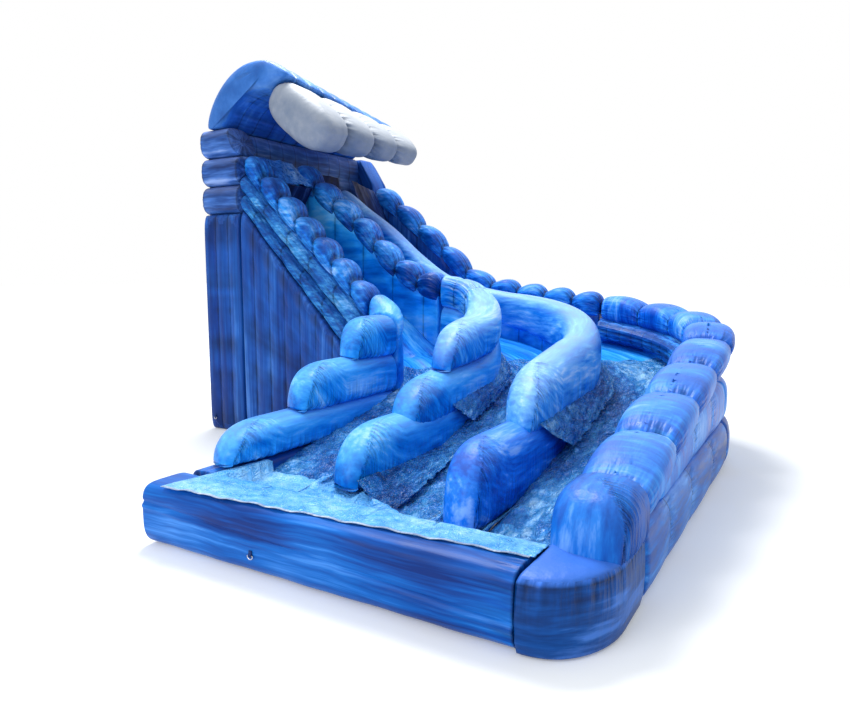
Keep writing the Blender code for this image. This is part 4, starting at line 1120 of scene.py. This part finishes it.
hung_cloth("inner_entry_valance", (0.95, 1.78), (-2.09, 4.66, 4.66), (-1.62, 4.22),
           valance_vinyl, 0.10, 91)
hung_cloth("inner_entry_shadow_net", (0.96, 1.77), (-1.66, 4.20, 4.20), (-1.90, 3.78),
           shadow_and_net_vinyl, 0.03, 92)
hung_cloth("middle_entry_shadow_net", (2.20, 3.03), (-2.06, 4.55, 4.55), (-1.92, 3.80),
           shadow_and_net_vinyl, 0.03, 93)
hung_cloth("outer_entry_shadow_net", (3.45, 4.27), (-2.06, 4.55, 4.40), (-1.70, 3.72),
           shadow_and_net_vinyl, 0.03, 94)


# Climbing mat
# Padded steps sewn on one mat of liner vinyl, by which riders climb the middle channel.
liner_vinyl = sewn_vinyl(
    "liner_vinyl", (44, 144, 222), (80, 172, 238), (112, 192, 248), (164, 218, 255),
    grain=(1.2, 1.6, 1.6), painted_top_light=0.1, fold=0.8, crumple=1.6, rough=0.28, gloss=0.4)


def place_mat(run, size, turn):
    station = station_of(1, run)
    across = across_at(turn, size)
    left = beside(1, station, half_of(station) + 0.004, 0 * run)
    right = beside(2, station, -half_of(station) - 0.004, 0 * run)
    points = left + (right - left) * across[:, None]
    step = np.clip(1.5 - 3.2 * np.abs((station * 2) % 1 - 0.4), 0, 1)
    round_off = np.clip(6 * (0.5 - np.abs(across - 0.5)), 0, 1) ** 0.4
    low = DECK_HEIGHT * curve_of(BED_SHARES[1], station) + 0.062
    thick = 0.05 + 0.11 * step * round_off
    height = low + np.where(turn <= np.pi, thick, 0) * size
    points[:, 2] = height
    return points, across, height


mat = sewn_skin(
    "climbing_mat_skin", 60, rows_of(run_of(1, 0.03), run_of(1, 5.98), (), (0.02, 0.02), 0.025),
    place_mat, seed=70)
fit(mat, liner_vinyl, ["climbing_mat"])


# Pool
# Thick tubes round a basin that a crinkled liner fills. The liner is sewn along the front tube's
# top with a pale binding, and the right corner is one bulging block.
front_vinyl = sewn_vinyl(
    "front_vinyl", (0, 42, 114), (0, 70, 154), (8, 98, 186), (70, 142, 226),
    grain=(0.14, 2.4, 4.0), painted_top_light=0.1, fold=0.4, sky=(60, 130, 236))
# The corner block's cloth is darker than the front tube's: painted shade on a side that faces away
# from the lamps.
corner_vinyl = sewn_vinyl(
    "corner_vinyl", (0, 40, 96), (2, 56, 122), (10, 74, 150), (66, 120, 206),
    grain=(3.0, 0.4, 0.4), painted_top_light=0.75, fold=0.6, sky=(72, 128, 232))


POOL_LEFT = 0.53
TUBE_AXIS, TUBE_HALF = 0.32, 0.322
LINER_TOP = 0.652


def place_front(run, size, turn):
    u, v = oval(turn, 1.0, 0.42, 0.62)
    sag = 0.003 * np.sin(run * 5.1) + 0.002 * np.sin(run * 12.7)
    crease = 0.47 - 0.055 * (run - POOL_LEFT)
    y = -3.30 + u * (0.31 + sag) * size
    z = TUBE_AXIS + v * (TUBE_HALF + 0.5 * sag) * size
    side = np.clip(-u, 0, 1) ** 4
    y = y + side * (0.016 * np.exp(-((z - crease) / 0.02) ** 2)
                    - 0.010 * np.exp(-((z - crease + 0.045) / 0.02) ** 2))
    return placed(run, y, z), y, z


tube = sewn_skin("pool_front_skin", 160, rows_of(POOL_LEFT, 4.589, (), (0.04, 0.012), 0.04),
                 place_front, (4.58,), pucker=0.010, reach=0.12, folds=16, seed=71)
fit(tube, front_vinyl, ["pool_front_tube"])


def place_left(run, size, turn):
    u, v = oval(turn, 1.0, 0.42)
    x = 0.785 + u * 0.255 * size
    z = TUBE_AXIS + v * TUBE_HALF * size
    return placed(x, run, z), x, z


tube = sewn_skin("pool_left_skin", 80, rows_of(-2.989, 0.389, (), (0.03, 0.03), 0.06), place_left,
                 (-2.98, 0.38), pucker=0.012, reach=0.14, folds=14, seed=72)
fit(tube, front_vinyl, ["pool_left_tube"])


def place_corner(run, size, turn):
    plan = [(4.5925, -2.352), (4.5925, -3.61)]
    for step in range(17):
        angle = math.pi / 2 * step / 16
        plan.append((5.21 - 0.58 * (1 - math.sin(angle)), -3.61 + 0.80 * (1 - math.cos(angle))))
    plan = np.array(plan + [(5.21, -2.352), (4.5925, -2.352)])
    length = np.concatenate([[0], np.cumsum(np.hypot(*np.diff(plan, axis=0).T))])
    bends = length[[0, 1, -2, -1]]
    spot = np.interp(turn / (2 * np.pi), np.round(bends / length[-1] * 160) / 160, bends)
    x = np.interp(spot, length, plan[:, 0])
    y = np.interp(spot, length, plan[:, 1])
    belly = np.interp(
        run, (0, 0.12, 0.29, 0.48, 0.60, 0.645), (0.89, 0.97, 1.0, 0.985, 0.955, 0.94))
    x = 4.9 + (x - 4.9) * np.where(x > 4.9, belly * size, size ** 0.3)
    y = -2.98 + (y + 2.98) * np.where(y < -2.98, belly * size, size ** 0.3)
    top_seam = np.abs(run - 0.56) + 0.003
    lid = (run >= 0.60) & (size < 0.985)
    away = np.where(lid, NO_SEAM, top_seam)
    return placed(x, y, run), x, y, away, turn * 0.6


swing = np.linspace(0, np.pi / 2, 16)
corner_runs = np.concatenate([np.zeros(6), np.linspace(0, 0.56, 26)[1:], 0.56 + 0.085
                              * np.sin(swing[1:]) ** 0.9])
corner_sizes = np.concatenate([np.linspace(0, 1, 7)[:-1] ** 0.5, np.ones(25),
                               np.cos(swing[1:]) ** 0.55])
corner = sewn_skin(
    "pool_corner_skin", 160, (corner_runs, corner_sizes), place_corner, (), pucker=0.010,
    reach=0.06, seed=73)
fit(corner, corner_vinyl, ["pool_corner_block"])


def front_edge(across):
    return np.interp(across, (0.8, 4.6), (-3.565, -3.285))


def place_liner(side, way):
    left_edge = np.interp(way, (0, 0.5, 1), (0.80, 0.93, 1.0))
    right_edge = np.interp(way, (0.38, 0.44), (4.615, 4.588))
    across = left_edge + side * (right_edge - left_edge)
    front = front_edge(across)
    y = np.interp(way, (0, 0.45, 1), (0, 0.5, 1))
    pocket = np.interp(across, (1.735, 1.751, 2.329, 2.345, 3.025, 3.041, 3.619, 3.635),
                       (0, 1, 1, 0, 0, 3.1, 3.1, 0))
    y = front + (-2.25 + 0.40 * pocket - front) * y
    basin = np.interp(across, (1.04, 2.04, 3.04), (0.475, 0.475, 0.135))
    shore = np.interp(across, (1.04, 1.75, 1.84, 2.25, 2.33, 3.04, 3.12, 3.53, 3.62),
                      (0.53, 0.53, 0.45, 0.44, 0.50, 0.28, 0.19, 0.19, 0.28))
    basin = basin + (shore - basin) * np.clip((y + 2.55) / 0.24, 0, 1)
    rim = np.interp(y, (-3.6, -3.10, -3.04, -2.99, -2.93), (LINER_TOP, LINER_TOP, 0.63, 0.56, 0.0))
    rim = np.where(across < 1.05, np.maximum(rim, LINER_TOP), rim)
    z = np.maximum(rim, basin)
    folds = creases(across, y, 0.15, 5, 10)
    fine_folds = creases(across, y, 0.07, 6, 8)
    calm = np.clip((across - left_edge) / 0.1, 0, 1) * np.clip((y - front) / 0.05, 0, 1)
    z = z + (0.035 * (folds - 0.25) + 0.014 * (fine_folds - 0.3)) * np.where(
        rim > basin, 0.6, 1) * (0.3 + 0.7 * calm)
    z = np.maximum(z, np.where(y < -2.99, 0.647, 0.128))
    z = z - 0.03 * np.clip((way - 0.94) / 0.06, 0, 1)
    wave = 0.010 * np.sin(across * 9) + 0.012 * creases(across, 0 * y, 0.10, 9)
    return (placed(across, y - wave * (way < 0.02), z),
            np.stack([across, y, z], 1))


cloth_sheet("pool_liner_sheet", (240, 110), place_liner, liner_vinyl,
            (3.70,), ["pool_liner"], thickness=0.004, outward=True)


def place_binding(side, width):
    across = 0.84 + side * 3.74
    edge = front_edge(across) - 0.010 * np.sin(across * 9)
    edge = edge - 0.012 * creases(across, 0 * across, 0.10, 9)
    width = width - 0.5
    points = np.stack([across, edge + width * 0.03 - 0.006,
                       0.662 - 0.012 * width ** 2 + 0.006 * np.sin(across * 23)], 1) - MIDDLE
    return points, points


tape_vinyl = sewn_vinyl(
    "tape_vinyl", (120, 140, 168), (150, 168, 192), (180, 194, 212), (214, 222, 232),
    grain=(9.0, 1.0, 1.0), painted_top_light=0.1, fold=0.3)
cloth_sheet("liner_binding", (160, 2), place_binding, tape_vinyl,
            (3.74,), thickness=0.004)


# Fittings
# Steel D-rings and the zip keep their shape from the model. The webbing, the flap and the sleeve
# are cloth.
steel = bpy.data.materials.new("galvanised_steel")
steel.use_nodes = True
tree = steel.node_tree
shader = tree.nodes["Principled BSDF"]
spangle = noise(tree, add_node(tree, "TexCoord").outputs["Object"], 260.0, 3.0)["Fac"]
tree.links.new(remap(tree, spangle, 0.0, 1.0, 0.22, 0.5), shader.inputs["Roughness"])
shader.inputs["Base Color"].default_value = (0.6, 0.61, 0.63, 1)
shader.inputs["Metallic"].default_value = 1.0
for name in ("front_anchor_ring", "tower_anchor_ring", "zip_track", "zip_slider"):
    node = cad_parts[name]
    node.data.materials.clear()
    node.data.materials.append(steel)


webbing = sewn_vinyl(
    "webbing", (14, 34, 76), (20, 46, 98), (28, 60, 120), (60, 98, 158), grain=(500.0, 90.0, 1.0),
    painted_top_light=0.0, fold=0.2, rough=0.6, gathers=0.0)
BAR_HEIGHT = 0.22
LOOP = 0.0075
STRAP = 0.047
for name, tab_x, face_y, under in (("front_anchor", 2.04, -3.61, "pool_front_skin"),
                                   ("tower_anchor", -2.80, 0.415, "tower_near_skin")):
    def place_tab(side, share, tab_x=tab_x, face_y=face_y):
        length = share * 0.118
        swing = np.clip((length - STRAP) / LOOP, 0, np.pi)
        rear = np.clip(STRAP - length, 0, None)
        front = np.clip(length - STRAP - LOOP * np.pi, 0, None)
        depth = LOOP * np.cos(swing) + 0.0105 * np.clip(front / 0.028, 0, 1) ** 2
        z = BAR_HEIGHT - LOOP * np.sin(swing) + rear + front
        points = np.stack([tab_x + (side - 0.5) * 0.036, face_y - 0.0115 + depth, z], 1)
        return points - MIDDLE, np.stack([length, side * 0.036, 0 * side], 1)

    cloth_sheet(f"{name}_webbing", (12, 60), place_tab, webbing,
                (0.036, 0.118), [f"{name}_tab"], thickness=0.0036, offset=0)


def place_flap(side, share):
    length = share * 0.176
    hung = np.clip(length - 0.016, 0, None)
    ripple = 0.0008 * (1 + np.sin(side * 21 + 3 * share)) * np.clip(hung / 0.1, 0, 1)
    x = 0.5288 - np.clip(length, 0, 0.016) * 0.95 - ripple
    z = 0.253 - hung + 0.001 * np.sin(side * 9)
    return (placed(x, -2.37 + side * 0.60, z),
            np.stack([length, side * 0.60, 0 * side], 1))


cloth_sheet("zip_flap_cloth", (100, 44), place_flap, liner_vinyl,
            (0.60, 0.176), ["zip_flap"], "flap", 0.002, 0)


def place_sleeve(side, share):
    turn = side * (2 * np.pi + 0.10)
    fold = creases(turn * 0.16, share * 0.55, 0.09, 95, 6) - 0.3
    radius = 0.150 + 0.0045 * side + 0.010 * fold * (0.3 + 0.7 * share)
    up = np.sin(turn + 3.8)
    y = 1.99 + radius * np.cos(turn + 3.8)
    z = 0.1605 + radius * up * (1 - 0.35 * share ** 2 * (up > 0))
    return (placed(-2.997 - 0.546 * share, y, z),
            np.stack([share * 0.55, side * 0.97, 0 * side], 1))


cloth_sheet(
    "inflation_sleeve_cloth", (150, 70), place_sleeve, cushion_vinyl,
    (0.97, 0.55), ["inflation_sleeve"], thickness=0.002, offset=0)
